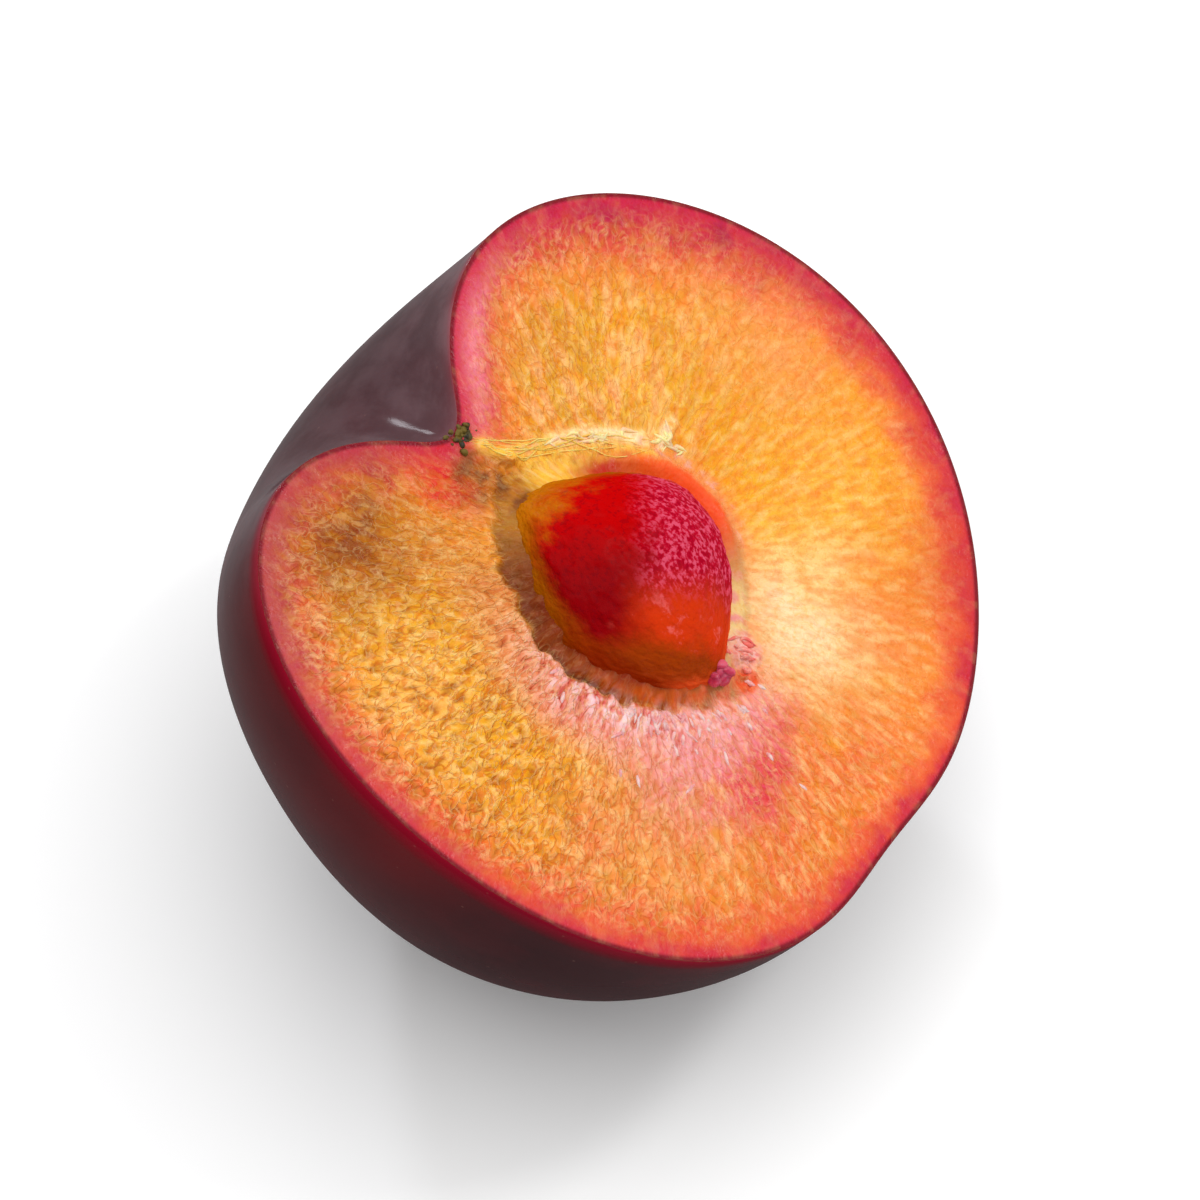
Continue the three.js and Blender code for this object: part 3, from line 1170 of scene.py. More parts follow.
@dataclass(frozen=True)
class SkinFinish:
    """Dark glossy skin with a pale waxy film by the stem that also carries a painted sheen, redder where it
    is thin at the cut edge.
    """

    roughness: float = 0.24
    bloom_roughness: float = 0.45
    bump_mm: float = 0.03
    coat_weight: float = 0.12
    coat_roughness: float = 0.12
    subsurface: float = 0.04
    subsurface_scale: float = 0.001

    def build(self) -> bpy.types.Material:
        """Builds the material.

        Returns:
            The finished material.
        """
        finish = Finish("waxy_skin")
        wires = finish.wires
        place = wires.read("place")
        blots = wires.place(SharedGroups.mottle(), place, Scale=0.16, Low=0.42, High=0.62)
        base = wires.lay(paint(44, 8, 13), blots, 0.35, paint(62, 9, 16))
        base = wires.blend(wires.read("blush", "Fac"), base, paint(100, 2, 10))
        base = wires.blend(wires.read("edge", "Fac"), base, paint(164, 10, 44))
        # The waxy film's pale colour is partly a painted sheen on the shoulder, and its drawn-out streaks are
        # painted reflection bands.
        drawn = wires.add("ShaderNodeMapping", {"Vector": place, "Scale": (1.0, 0.22, 1.0)}).outputs["Vector"]
        sheen_streaks = wires.place(SharedGroups.mottle(), drawn, Scale=0.3, Low=0.25, High=0.75)
        film_and_sheen = wires.times(wires.read("bloom_and_sheen", "Fac"), wires.span(sheen_streaks, 0.0, 1.0, 0.55, 1.0))
        colour = wires.blend(film_and_sheen, base, paint(150, 122, 128))
        dots = wires.add("ShaderNodeTexVoronoi", {"Vector": place, "Scale": 0.55})
        dot = wires.span(dots.outputs["Distance"], 0.075, 0.03)
        return finish.dress({
            "Base Color": wires.lay(colour, dot, 0.16, paint(150, 104, 92)),
            "Roughness": wires.span(film_and_sheen, 0.0, 0.6, self.roughness, self.bloom_roughness),
            "Normal": wires.bump(wires.noise(place, 1.4, 3.0), self.bump_mm, 0.5),
            "Specular IOR Level": 0.0,
            "Coat Weight": self.coat_weight,
            "Coat Roughness": self.coat_roughness,
            "Subsurface Weight": self.subsurface,
            "Subsurface Scale": self.subsurface_scale,
        })


@dataclass(frozen=True)
class StoneFinish:
    """Crimson stone, darker toward its lower side, partly painted shade, purple and grainy toward the right
    with painted glints, olive where flesh clings to its flanks.
    """

    roughness: float = 0.42
    bump_mm: float = 0.22
    coat_weight: float = 0.05
    coat_roughness: float = 0.34
    subsurface: float = 0.1
    subsurface_scale: float = 0.001
    tipward: Point = (4.5, -7.1, 2.5)
    topward: Point = (5.0, 6.4, 1.9)

    def build(self) -> bpy.types.Material:
        """Builds the material.

        Returns:
            The finished material.
        """
        finish = Finish("crimson_stone")
        wires = finish.wires
        where = wires.read("stone_place")
        axes = wires.add("ShaderNodeSeparateXYZ", {0: where}).outputs
        blots = wires.noise(where, 4.2, 6.0, 0.65)
        wander = wires.math("MULTIPLY_ADD", blots, 0.9, -0.45)
        stray = wires.times(wander, 4.0)
        side = wires.math("ADD", wires.dot(where, self.tipward), stray)
        rise = wires.math("ADD", wires.dot(where, self.topward), stray)
        out = wires.math("ADD", axes["Z"], wires.times(wander, 0.5))
        # Brighter toward the top and darker toward the lower side: partly painted shade of the side away from
        # the lights.
        colour = wires.blend(wires.span(rise, -1.0, 5.5), paint(138, 0, 6), paint(188, 0, 2))
        purple = wires.times(wires.span(side, 0.2, 3.2), wires.span(rise, -3.0, 0.5))
        colour = wires.lay(colour, purple, 0.85, paint(184, 6, 42))
        grit = wires.noise(where, 22.0, 2.0, 0.6)
        # Pale pink specks in the purple grit: partly the grit's own colour, partly painted glints of wet
        # pits.
        grit_and_glints = wires.times(wires.span(grit, 0.46, 0.62), purple)
        colour = wires.lay(colour, grit_and_glints, 0.62, paint(230, 96, 126))
        pit = wires.span(grit, 0.46, 0.38)
        colour = wires.lay(colour, pit, 0.35, paint(112, 0, 14))
        low = wires.times(wires.span(side, -1.5, 2.5), wires.span(rise, 1.2, -2.8))
        colour = wires.lay(colour, low, 0.9, paint(214, 56, 12))
        # Painted highlights: pale pink glints of moist beads on the stone's lower side.
        bead_glints = wires.times(low, wires.span(blots, 0.56, 0.66))
        colour = wires.lay(colour, bead_glints, 0.6, paint(238, 110, 104))
        foot = wires.span(rise, -3.3, -5.6)
        colour = wires.lay(colour, foot, 0.95, paint(150, 54, 4))
        flank = wires.times(wires.span(out, 0.52, 0.2), wires.span(side, 5.0, 1.0))
        rim_colour = wires.blend(wires.span(axes["Y"], -0.2, 0.5), paint(142, 36, 0), paint(156, 84, 0))
        colour = wires.lay(colour, flank, 0.95, rim_colour)
        ruddy = wires.times(wires.span(out, 0.5, 0.2), wires.span(side, 1.5, 4.5))
        colour = wires.lay(colour, ruddy, 0.85, paint(232, 84, 34))
        tip = wires.math("ADD", axes["Y"], wires.times(wander, 0.7))
        colour = wires.lay(colour, wires.span(tip, 0.62, 0.98), 0.9, paint(190, 110, 6))
        return finish.dress({
            "Base Color": colour,
            "Roughness": wires.span(blots, 0.3, 0.7, self.roughness - 0.1, self.roughness + 0.12),
            "Normal": wires.bump(wires.noise(where, 20.0, 4.0), self.bump_mm, 0.8),
            "Specular IOR Level": 0.0,
            "Coat Weight": self.coat_weight,
            "Coat Roughness": self.coat_roughness,
            "Subsurface Weight": self.subsurface,
            "Subsurface Scale": self.subsurface_scale,
        })


@dataclass(frozen=True)
class ShredFinish:
    """Moist shreds of flesh in two mixed colours."""

    name: str
    first: Colour
    second: Colour
    roughness: float = 0.35
    subsurface: float = 0.3
    blots_to_a_metre: float = 900.0

    def build(self) -> bpy.types.Material:
        """Builds the material.

        Returns:
            The finished material.
        """
        finish = Finish(self.name)
        wires = finish.wires
        where = wires.add("ShaderNodeTexCoord").outputs["Object"]
        mask = wires.place(SharedGroups.mottle(), where, Scale=self.blots_to_a_metre, Low=0.4, High=0.6)
        return finish.dress({
            "Base Color": wires.blend(mask, self.first, self.second),
            "Roughness": wires.span(mask, 0.0, 1.0, self.roughness, self.roughness + 0.15),
            "Subsurface Weight": self.subsurface,
            "Subsurface Scale": 0.001,
        })


@dataclass
class PlumHalf:
    """The skin, the cut face and the hollow for the stone, as one closed surface."""

    shape: FruitShape
    pose: LyingPose
    flesh: bpy.types.Material
    skin: bpy.types.Material
    relief: FleshRelief = field(default_factory=FleshRelief)
    colours: FleshColours = field(default_factory=FleshColours)
    side_steps: int = 360
    slope_rings: int = 12
    face_rings: int = 98
    skin_rows: int = 36
    hollow_rows: int = 5
    hollow_depth: float = 5.6
    overlap: float = 0.9
    pole_crowding: float = 0.22
    ring_crowding: float = 0.06
    edge_strength: float = 0.6
    edge_depth: float = 0.7
    bloom_and_sheen_strength: float = 0.44
    bloom_and_sheen_unevenness: float = 0.08
    plain_relief: float = 0.45
    fibre_spread: float = 14.0
    seed: int = 17
    ground: KDTree | None = None
    ground_height: np.ndarray | None = None

    def polar_steps(self) -> np.ndarray:
        """Angles from the stem axis, closer together near both ends of the fruit."""
        even = np.linspace(0.0, math.pi, self.side_steps + 1)
        return even - self.pole_crowding * np.sin(2 * even)

    def outline(self) -> np.ndarray:
        """The skin's edge on the cut face, clockwise from the stem.

        Returns:
            An array of twice the side steps by 3.
        """
        polar = self.polar_steps()
        right = np.stack([np.sin(polar), np.cos(polar), np.zeros_like(polar)], axis=1)
        left = right[-2:0:-1] * np.array([-1.0, 1.0, 1.0])
        direction = np.vstack([right, left])
        return direction * self.shape.radius(direction)[:, None]

    def spokes(self) -> tuple[np.ndarray, np.ndarray, np.ndarray]:
        """Lines from the lip's centre to the skin's edge.

        Returns:
            Their unit headings, bearings and lengths.
        """
        spoke = self.outline() - np.array(self.shape.lip_centre)
        length = np.hypot(spoke[:, 0], spoke[:, 1])
        return spoke / length[:, None], np.arctan2(spoke[:, 1], spoke[:, 0]), length

    def skin_points(self) -> np.ndarray:
        """The skin's points behind the cut face, row by row from right to left.

        Returns:
            An array of (skin rows - 1) by (side steps - 1) by 3.
        """
        polar = self.polar_steps()[1:-1]
        turn = np.linspace(0.0, math.pi, self.skin_rows + 1)[1:-1]
        sine = np.sin(polar)[None, :]
        x = np.cos(turn)[:, None] * sine
        y = np.broadcast_to(np.cos(polar)[None, :], x.shape)
        z = -np.sin(turn)[:, None] * sine
        direction = np.stack([x, y, z], axis=2).reshape(-1, 3)
        return direction * self.shape.radius(direction)[:, None]

    def face_places(self) -> FacePlaces:
        """The flat cut face, ring by ring from the stone's foot over the lip to just inside the skin.

        Returns:
            The points and where each one lies.
        """
        unit, bearing, reach = self.spokes()
        lip = self.shape.ragged_lip(bearing)
        foot = self.shape.foot(bearing, self.overlap)
        tuck = np.linspace(1.0, 0.0, self.slope_rings + 1)[:-1, None]
        inner = lip + (foot - lip) * tuck
        even = np.linspace(0.0, 1.0, self.face_rings + 1)[:-1]
        share = (even - self.ring_crowding * np.sin(2 * math.pi * even))[:, None]
        outer = lip + (reach - lip) * share
        distance = np.vstack([inner, outer])
        points = np.array(self.shape.lip_centre) + distance[:, :, None] * unit[None, :, :]
        flat = points.reshape(-1, 3)
        every = np.broadcast_to(bearing, distance.shape).ravel()
        tucked = np.vstack([np.broadcast_to(tuck, inner.shape), np.zeros_like(outer)]).ravel()
        return FacePlaces(flat, (distance - lip).ravel(), tucked, self.gap_to(self.outline(), flat), every)

    @staticmethod
    def gap_to(outline: np.ndarray, points: np.ndarray) -> np.ndarray:
        """Shortest distance from each point to a closed outline.

        Args:
            outline: The outline's points.
            points: The points to measure from.

        Returns:
            One distance for each point.
        """
        start = outline[::3, :2]
        end = np.roll(start, -1, axis=0)
        run = end - start
        length = np.sum(run * run, axis=1)
        nearest = np.full(len(points), FAR_AWAY)
        for first, step, size in zip(start, run, length):
            away = points[:, :2] - first
            share = np.clip(away @ step / size, 0.0, 1.0)
            gap = np.hypot(away[:, 0] - share * step[0], away[:, 1] - share * step[1])
            nearest = np.minimum(nearest, gap)
        return nearest

    def hollow_points(self) -> np.ndarray:
        """The hollow's wall under the stone, ring by ring, and last its lowest point.

        Returns:
            An array of points.
        """
        unit, bearing, _ = self.spokes()
        foot = self.shape.foot(bearing, self.overlap)
        centre = np.array(self.shape.lip_centre)
        rows = []
        for row in range(1, self.hollow_rows):
            dive = 0.5 * math.pi * row / self.hollow_rows
            ring = centre + unit * (foot * math.cos(dive))[:, None]
            ring[:, 2] = -self.hollow_depth * math.sin(dive)
            rows.append(ring)
        bottom = centre + np.array([0.0, 0.0, -self.hollow_depth])
        return np.vstack([*rows, bottom[None, :]])

    def skin_fields(self, points: np.ndarray) -> tuple[np.ndarray, np.ndarray, np.ndarray]:
        """Where the skin is thin, where it has its waxy film with a painted sheen, and where it is red.

        Args:
            points: The skin's points in the fruit's own frame.

        Returns:
            Shares from 0 to 1 for the thin edge, the waxy film with its painted sheen, and the red blush.
        """
        x, y, z = points.T
        grain = Grain(self.seed)
        edge = self.edge_strength * np.exp(z / self.edge_depth)
        shoulder = smooth_step(3.0, 17.0, y) * (0.15 + 0.85 * np.exp(z / 9.0))
        uneven = grain.layered(points, 9.0, 3)
        shoulder *= smooth_step(-24.0, -10.0, x)
        bloom_and_sheen = self.bloom_and_sheen_strength * shoulder + self.bloom_and_sheen_unevenness * uneven * shoulder
        bloom_and_sheen = np.clip(bloom_and_sheen, 0.0, 0.8)
        left = smooth_step(-14.0, -24.0, x) * smooth_step(-12.0, 2.0, y) * np.exp(z / 9.0)
        blush = np.clip(left * (0.9 + 0.5 * uneven), 0.0, 1.0)
        return edge, bloom_and_sheen, blush

    def faces(self, starts: dict[Block, int]) -> tuple[list[tuple[int, ...]], int]:
        """Joins the rings and rows into faces.

        Args:
            starts: Where each block of points starts.

        Returns:
            The faces, cut face and hollow first, and how many of those there are.
        """
        around = 2 * self.side_steps
        rings = self.slope_rings + self.face_rings
        found: list[tuple[int, ...]] = []
        outer = starts[Block.OUTLINE]

        def ring_to_ring(low: int, high: int) -> None:
            """Joins two rings of the same number of points.

            Args:
                low: First point of one ring.
                high: First point of the other.
            """
            for step in range(around):
                after = (step + 1) % around
                found.append((low + step, low + after, high + after, high + step))

        for ring in range(rings - 1):
            low = starts[Block.FACE] + ring * around
            ring_to_ring(low, low + around)
        ring_to_ring(starts[Block.FACE] + (rings - 1) * around, outer)
        ring_to_ring(starts[Block.HOLLOW], starts[Block.FACE])
        for row in range(self.hollow_rows - 2):
            low = starts[Block.HOLLOW] + row * around
            ring_to_ring(low + around, low)
        bottom = starts[Block.HOLLOW] + (self.hollow_rows - 1) * around
        last = bottom - around
        for step in range(around):
            found.append((bottom, last + (step + 1) % around, last + step))
        flesh_faces = len(found)
        run = self.side_steps - 1

        def skin_at(row: int, step: int) -> int:
            """The point at a row and step of the skin, its edges and poles included.

            Args:
                row: Rows from the right.
                step: Steps from the stem.

            Returns:
                The point's number.
            """
            if step == 0:
                return outer
            if step == self.side_steps:
                return outer + self.side_steps
            if row == 0:
                return outer + step
            if row == self.skin_rows:
                return outer + around - step
            return starts[Block.SKIN] + (row - 1) * run + step - 1

        for row in range(self.skin_rows):
            for step in range(self.side_steps):
                corners = (
                    skin_at(row, step),
                    skin_at(row + 1, step),
                    skin_at(row + 1, step + 1),
                    skin_at(row, step + 1),
                )
                found.append(tuple(dict.fromkeys(corners)))
        return found, flesh_faces

    def build(self) -> bpy.types.Object:
        """Builds the dressed half.

        Returns:
            The finished object.
        """
        outline = self.outline()
        places = self.face_places()
        hollow = self.hollow_points()
        height, fine = self.relief.build(places)
        raised = places.flat.copy()
        raised[:, 2] += height
        starts = {Block.FACE: 0, Block.OUTLINE: len(raised)}
        starts[Block.HOLLOW] = starts[Block.OUTLINE] + len(outline)
        starts[Block.SKIN] = starts[Block.HOLLOW] + len(hollow)
        own = np.vstack([raised, outline, hollow, self.skin_points()])
        placed = self.pose.place(own)
        placed[:, 2] = np.maximum(placed[:, 2], 0.0)
        faces, flesh_faces = self.faces(starts)
        thing = Meshes.make("plum_flesh_and_skin", placed, faces)
        thing.data.materials.append(self.flesh)
        thing.data.materials.append(self.skin)
        index = np.ones(len(thing.data.polygons), dtype=np.int32)
        index[:flesh_faces] = 0
        thing.data.polygons.foreach_set("material_index", index)
        self.store_fields(thing, own, starts, places, fine)
        Meshes.face_outward(thing)
        self.ground = KDTree(len(raised))
        self.ground_height = raised[:, 2]
        for number, spot in enumerate(places.flat):
            self.ground.insert(spot.tolist(), number)
        self.ground.balance()
        return thing

    def height_at(self, spots: np.ndarray) -> np.ndarray:
        """Height of the finished cut face at places on it.

        Args:
            spots: Points in the fruit's own frame, N by 3. Their own heights are not used.

        Returns:
            One height in millimetres for each point.
        """
        nearest = [self.ground.find((spot[0], spot[1], 0.0))[1] for spot in spots]
        return self.ground_height[nearest]

    def store_fields(
        self,
        thing: bpy.types.Object,
        own: np.ndarray,
        starts: dict[Block, int],
        places: FacePlaces,
        fine: np.ndarray,
    ) -> None:
        """Stores what the two finishes read from the mesh.

        Args:
            thing: The half's object.
            own: Every point in the fruit's own frame.
            starts: Where each block of points starts.
            places: Where the points of the cut face lie.
            fine: Their strokes from 0 to 1.
        """
        total = len(own)
        count = len(places.flat)
        tint = np.tile(np.array(WINE), (total, 1))
        tint[:count] = self.colours.build(places, fine, self.relief.torn(places))
        tint[starts[Block.HOLLOW] : starts[Block.SKIN]] = np.array(OLIVE)
        relief = np.full(total, self.plain_relief)
        relief[:count] = fine
        fibre = own * 0.5
        spread = places.outward() * self.fibre_spread
        spread[:, 2] = places.lip_gap * 0.3
        fibre[:count] = spread
        smooth = np.zeros(total)
        smooth[:count] = smooth_step(-0.3, 0.4, places.tuck)
        edge, bloom_and_sheen, blush = self.skin_fields(own)
        torn = np.zeros(total)
        torn[:count] = self.relief.torn(places) * (1.0 - 0.8 * smooth_step(0.0, 0.35, places.tuck))
        torn[:count] *= 1.0 - 0.8 * TOP_RIDGE.cover(places.flat)
        fields = {"tint": tint, "relief": relief, "torn": torn, "smooth": smooth, "fibre": fibre}
        fields.update({"place": own, "edge": edge, "bloom_and_sheen": bloom_and_sheen, "blush": blush})
        for name, values in fields.items():
            Meshes.store(thing, name, values)


class GrownPiece:
    """A piece that a geometry node tree grows, turned into a plain mesh."""

    @staticmethod
    def new_tree(name: str, inputs: dict[str, str]) -> Tree:
        """Starts a tree with a geometry in and out, the given inputs and the input Finish.

        Args:
            name: The tree's plain name.
            inputs: The kind of each input's socket, by the input's name.

        Returns:
            The tree's hand.
        """
        tree = bpy.data.node_groups.new(name, "GeometryNodeTree")
        tree.interface.new_socket("Geometry", in_out="OUTPUT", socket_type="NodeSocketGeometry")
        for label, kind in {"Geometry": "Geometry", **inputs, "Finish": "Material"}.items():
            tree.interface.new_socket(label, in_out="INPUT", socket_type="NodeSocket" + kind)
        return Tree(tree)

    @staticmethod
    def finish_tree(wires: Tree, geometry: object, material: object) -> None:
        """Ends a tree in Realize Instances, smooth shading and Set Material.

        Args:
            wires: The tree's hand.
            geometry: What the tree has made.
            material: The finish it gets.
        """
        real = wires.add("GeometryNodeRealizeInstances", {"Geometry": geometry})
        smooth = wires.add("GeometryNodeSetShadeSmooth", {"Geometry": real.outputs["Geometry"]})
        values = {"Geometry": smooth.outputs["Geometry"], "Material": material}
        dressed = wires.add("GeometryNodeSetMaterial", values)
        wires.add("NodeGroupOutput", {"Geometry": dressed.outputs["Geometry"]})

    @staticmethod
    def thickness(wires: Tree) -> bpy.types.NodeSocket:
        """Reads how thick the piece is at each point."""
        return wires.add("GeometryNodeInputNamedAttribute", {"Name": "thick"}).outputs["Attribute"]

    @staticmethod
    def grow(
        name: str, seedbed: bpy.types.Object, wires: Tree, values: dict[str, object]
    ) -> bpy.types.Object:
        """Runs a tree on a starting object and keeps the result as a plain mesh.

        Args:
            name: The finished piece's name.
            seedbed: The object that the tree starts from. It is removed.
            wires: The tree's hand.
            values: The tree's input values, by name.

        Returns:
            The finished object.
        """
        modifier = seedbed.modifiers.new("grow", "NODES")
        modifier.node_group = wires.tree
        for item in wires.tree.interface.items_tree:
            if item.in_out == "INPUT" and item.name in values:
                modifier[item.identifier] = values[item.name]
        seedbed.update_tag()
        graph = bpy.context.evaluated_depsgraph_get()
        mesh = bpy.data.meshes.new_from_object(seedbed.evaluated_get(graph), depsgraph=graph)
        mesh.name = name
        seedbed.modifiers.remove(modifier)
        old = seedbed.data
        bpy.data.objects.remove(seedbed)
        bpy.data.meshes.remove(old)
        return Meshes.link(name, mesh)


@dataclass
class Stone:
    """The stone, a flattened almond with soft lumps that stands out of the cut face."""

    shape: FruitShape
    pose: LyingPose
    finish: bpy.types.Material
    fineness: int = 7
    lump_height: float = 0.7
    lump_spacing: float = 2.6
    grit_height: float = 0.22
    grit_spacing: float = 11.0
    middle_noise: float = 0.6

    def numbers(self) -> dict[str, float]:
        """The sizes that the tree is given, by input name.

        Returns:
            One number for each input.
        """
        return {
            "Half Width": self.shape.stone_half[0],
            "Half Length": self.shape.stone_half[1],
            "Half Thickness": self.shape.stone_half[2],
            "Sharpness": self.shape.stone_sharpness,
            "Bow": self.shape.stone_bow,
            "Lump Height": self.lump_height,
            "Lump Spacing": self.lump_spacing,
            "Grit Height": self.grit_height,
            "Grit Spacing": self.grit_spacing,
        }

    def tree(self) -> Tree:
        """The tree that shapes a ball into the stone and roughens it.

        Returns:
            The tree's hand.
        """
        inputs = {**dict.fromkeys(self.numbers(), "Float"), "Turn": "Rotation", "Place": "Vector"}
        wires = GrownPiece.new_tree("stone_rule", inputs)
        given = wires.add("NodeGroupInput").outputs
        ball = wires.add("GeometryNodeMeshIcoSphere", {"Radius": 1.0, "Subdivisions": self.fineness})
        start = wires.add("GeometryNodeInputPosition").outputs[0]
        named = {"Name": "stone_place"}
        stored = {"Geometry": ball.outputs["Mesh"], "Value": start, **named}
        kept = wires.add("GeometryNodeStoreNamedAttribute", stored, data_type="FLOAT_VECTOR")
        unit = wires.add("GeometryNodeInputNamedAttribute", named, data_type="FLOAT_VECTOR").outputs[0]
        axes = wires.add("ShaderNodeSeparateXYZ", {0: unit}).outputs
        square = wires.times(axes["Y"], axes["Y"])
        room = wires.math("MAXIMUM", wires.math("SUBTRACT", 1.0, square), 0.0)
        taper = wires.math("POWER", room, given["Sharpness"])
        across = wires.times(wires.times(axes["X"], taper), given["Half Width"])
        across = wires.math("SUBTRACT", across, wires.times(square, given["Bow"]))
        along = wires.times(axes["Y"], given["Half Length"])
        out = wires.times(wires.times(axes["Z"], taper), given["Half Thickness"])
        almond = wires.add("ShaderNodeCombineXYZ", {"X": across, "Y": along, "Z": out}).outputs[0]
        shaped = wires.add(
            "GeometryNodeSetPosition", {"Geometry": kept.outputs["Geometry"], "Position": almond}
        )
        rises = []
        for kind in ("Lump", "Grit"):
            bed = wires.noise(unit, given[kind + " Spacing"], 2.0)
            centred = wires.math("SUBTRACT", bed, self.middle_noise)
            rises.append(wires.times(centred, given[kind + " Height"]))
        normal = wires.add("GeometryNodeInputNormal").outputs[0]
        push = wires.scaled(normal, wires.math("ADD", *rises))
        rough = wires.add("GeometryNodeSetPosition", {"Geometry": shaped.outputs["Geometry"], "Offset": push})
        moves = {"Rotation": given["Turn"], "Translation": given["Place"], "Scale": (MM, MM, MM)}
        laid = wires.add("GeometryNodeTransform", {"Geometry": rough.outputs["Geometry"], **moves})
        GrownPiece.finish_tree(wires, laid.outputs["Geometry"], given["Finish"])
        return wires

    def build(self) -> bpy.types.Object:
        """Builds the dressed stone.

        Returns:
            The finished object.
        """
        seedbed = Meshes.make("stone_seedbed", np.zeros((1, 3)), [])
        centre = self.pose.place(np.array([self.shape.stone_centre]))[0]
        values = {
            **self.numbers(),
            "Turn": self.pose.turn().to_euler("XYZ"),
            "Place": tuple(float(value) for value in centre),
            "Finish": self.finish,
        }
        return GrownPiece.grow("plum_stone", seedbed, self.tree(), values)


@dataclass
class Strands:
    """Moist threads of flesh that follow paths, grown by one tree."""

    name: str
    pose: LyingPose
    finish: bpy.types.Material
    sides: int = 6
    wobble: float = 0.12
    wobble_spacing: float = 1.1
    end_share: float = 0.22

    def tree(self) -> Tree:
        """The tree that turns paths into tapered, slightly wavy threads.

        Returns:
            The tree's hand.
        """
        inputs = {"Sides": "Int", "Wobble": "Float", "Wobble Spacing": "Float"}
        wires = GrownPiece.new_tree(self.name + "_rule", inputs)
        given = wires.add("NodeGroupInput").outputs
        place = wires.add("GeometryNodeInputPosition").outputs[0]
        scaled = wires.scaled(place, wires.math("DIVIDE", 1.0 / MM, given["Wobble Spacing"]))
        noise = wires.noise(scaled, 1.0, 2.0).node.outputs["Color"]
        centred = wires.add("ShaderNodeVectorMath", {0: noise, 1: (0.5, 0.5, 0.5)}, operation="SUBTRACT")
        sway = wires.scaled(centred.outputs[0], wires.times(given["Wobble"], 2.0 * MM))
        moved = wires.add("GeometryNodeSetPosition", {"Geometry": given["Geometry"], "Offset": sway})
        curve = wires.add("GeometryNodeMeshToCurve", {"Mesh": moved.outputs["Geometry"]})
        ring = wires.add("GeometryNodeCurvePrimitiveCircle", {"Resolution": given["Sides"], "Radius": 1.0})
        values = {"Curve": curve.outputs["Curve"], "Profile Curve": ring.outputs["Curve"]}
        values.update({"Scale": GrownPiece.thickness(wires), "Fill Caps": True})
        solid = wires.add("GeometryNodeCurveToMesh", values)
        GrownPiece.finish_tree(wires, solid.outputs["Mesh"], given["Finish"])
        return wires

    def build(self, paths: list[np.ndarray], thickness: np.ndarray) -> bpy.types.Object:
        """Builds the threads.

        Args:
            paths: The points of each thread in the fruit's own frame, in millimetres.
            thickness: Half the thickness of each thread at its middle, in millimetres.

        Returns:
            The finished object.
        """
        edges: list[tuple[int, int]] = []
        widths = []
        start = 0
        for path, half in zip(paths, thickness):
            edges += [(start + step, start + step + 1) for step in range(len(path) - 1)]
            along = np.linspace(0.0, math.pi, len(path))
            widths.append(half * MM * (self.end_share + (1.0 - self.end_share) * np.sin(along)))
            start += len(path)
        mesh = bpy.data.meshes.new(self.name)
        mesh.from_pydata(self.pose.place(np.vstack(paths)).tolist(), edges, [])
        seedbed = Meshes.link(self.name + "_seedbed", mesh)
        Meshes.store(seedbed, "thick", np.concatenate(widths))
        values = {"Sides": self.sides, "Wobble": self.wobble, "Wobble Spacing": self.wobble_spacing}
        thing = GrownPiece.grow(self.name, seedbed, self.tree(), {**values, "Finish": self.finish})
        Meshes.face_outward(thing)
        return thing


@dataclass
class Crumbs:
    """Small lumps of flesh or scar on given spots, grown by one tree."""

    name: str
    pose: LyingPose
    finish: bpy.types.Material
    fineness: int = 3
    lumpiness: float = 0.45
    lump_spacing: float = 1.7
    thinnest: float = 0.6
    thickest: float = 1.35
    seed: int = 5

    def tree(self) -> Tree:
        """The tree that sets a lump on each spot, turned and stretched at random.

        Returns:
            The tree's hand.
        """
        inputs = {"Fineness": "Int", "Lumpiness": "Float", "Seed": "Int"}
        wires = GrownPiece.new_tree(self.name + "_rule", inputs)
        given = wires.add("NodeGroupInput").outputs

        def chance(low: float, high: float, seed: object) -> bpy.types.NodeSocket:
            """A random vector between two values on each axis."""
            values = {0: (low, low, low), 1: (high, high, high), "Seed": seed}
            return wires.add("FunctionNodeRandomValue", values, data_type="FLOAT_VECTOR").outputs[0]

        ball = wires.add("GeometryNodeMeshIcoSphere", {"Radius": 1.0, "Subdivisions": given["Fineness"]})
        stretch = chance(self.thinnest, self.thickest, wires.math("ADD", given["Seed"], 1.0))
        values = {"Points": given["Geometry"], "Instance": ball.outputs["Mesh"]}
        values["Rotation"] = chance(0.0, math.tau, given["Seed"])
        values["Scale"] = wires.scaled(stretch, GrownPiece.thickness(wires))
        spread = wires.add("GeometryNodeInstanceOnPoints", values)
        real = wires.add("GeometryNodeRealizeInstances", {"Geometry": spread.outputs["Instances"]})
        place = wires.add("GeometryNodeInputPosition").outputs[0]
        noise = wires.noise(wires.scaled(place, 1.0 / MM), self.lump_spacing, 3.0)
        push = wires.times(wires.math("SUBTRACT", noise, 0.5), given["Lumpiness"])
        normal = wires.add("GeometryNodeInputNormal").outputs[0]
        offset = wires.scaled(normal, wires.times(push, MM))
        lumpy = wires.add("GeometryNodeSetPosition", {"Geometry": real.outputs["Geometry"], "Offset": offset})
        GrownPiece.finish_tree(wires, lumpy.outputs["Geometry"], given["Finish"])
        return wires

    def build(self, spots: np.ndarray, sizes: np.ndarray) -> bpy.types.Object:
        """Builds the lumps.

        Args:
            spots: Their centres in the fruit's own frame, N by 3, in millimetres.
            sizes: Their radii in millimetres.

        Returns:
            The finished object.
        """
        seedbed = Meshes.make(self.name + "_seedbed", self.pose.place(spots), [])
        Meshes.store(seedbed, "thick", sizes * MM)
        values = {"Fineness": self.fineness, "Lumpiness": self.lumpiness, "Seed": self.seed}
        thing = GrownPiece.grow(self.name, seedbed, self.tree(), {**values, "Finish": self.finish})
        Meshes.face_outward(thing)
        return thing


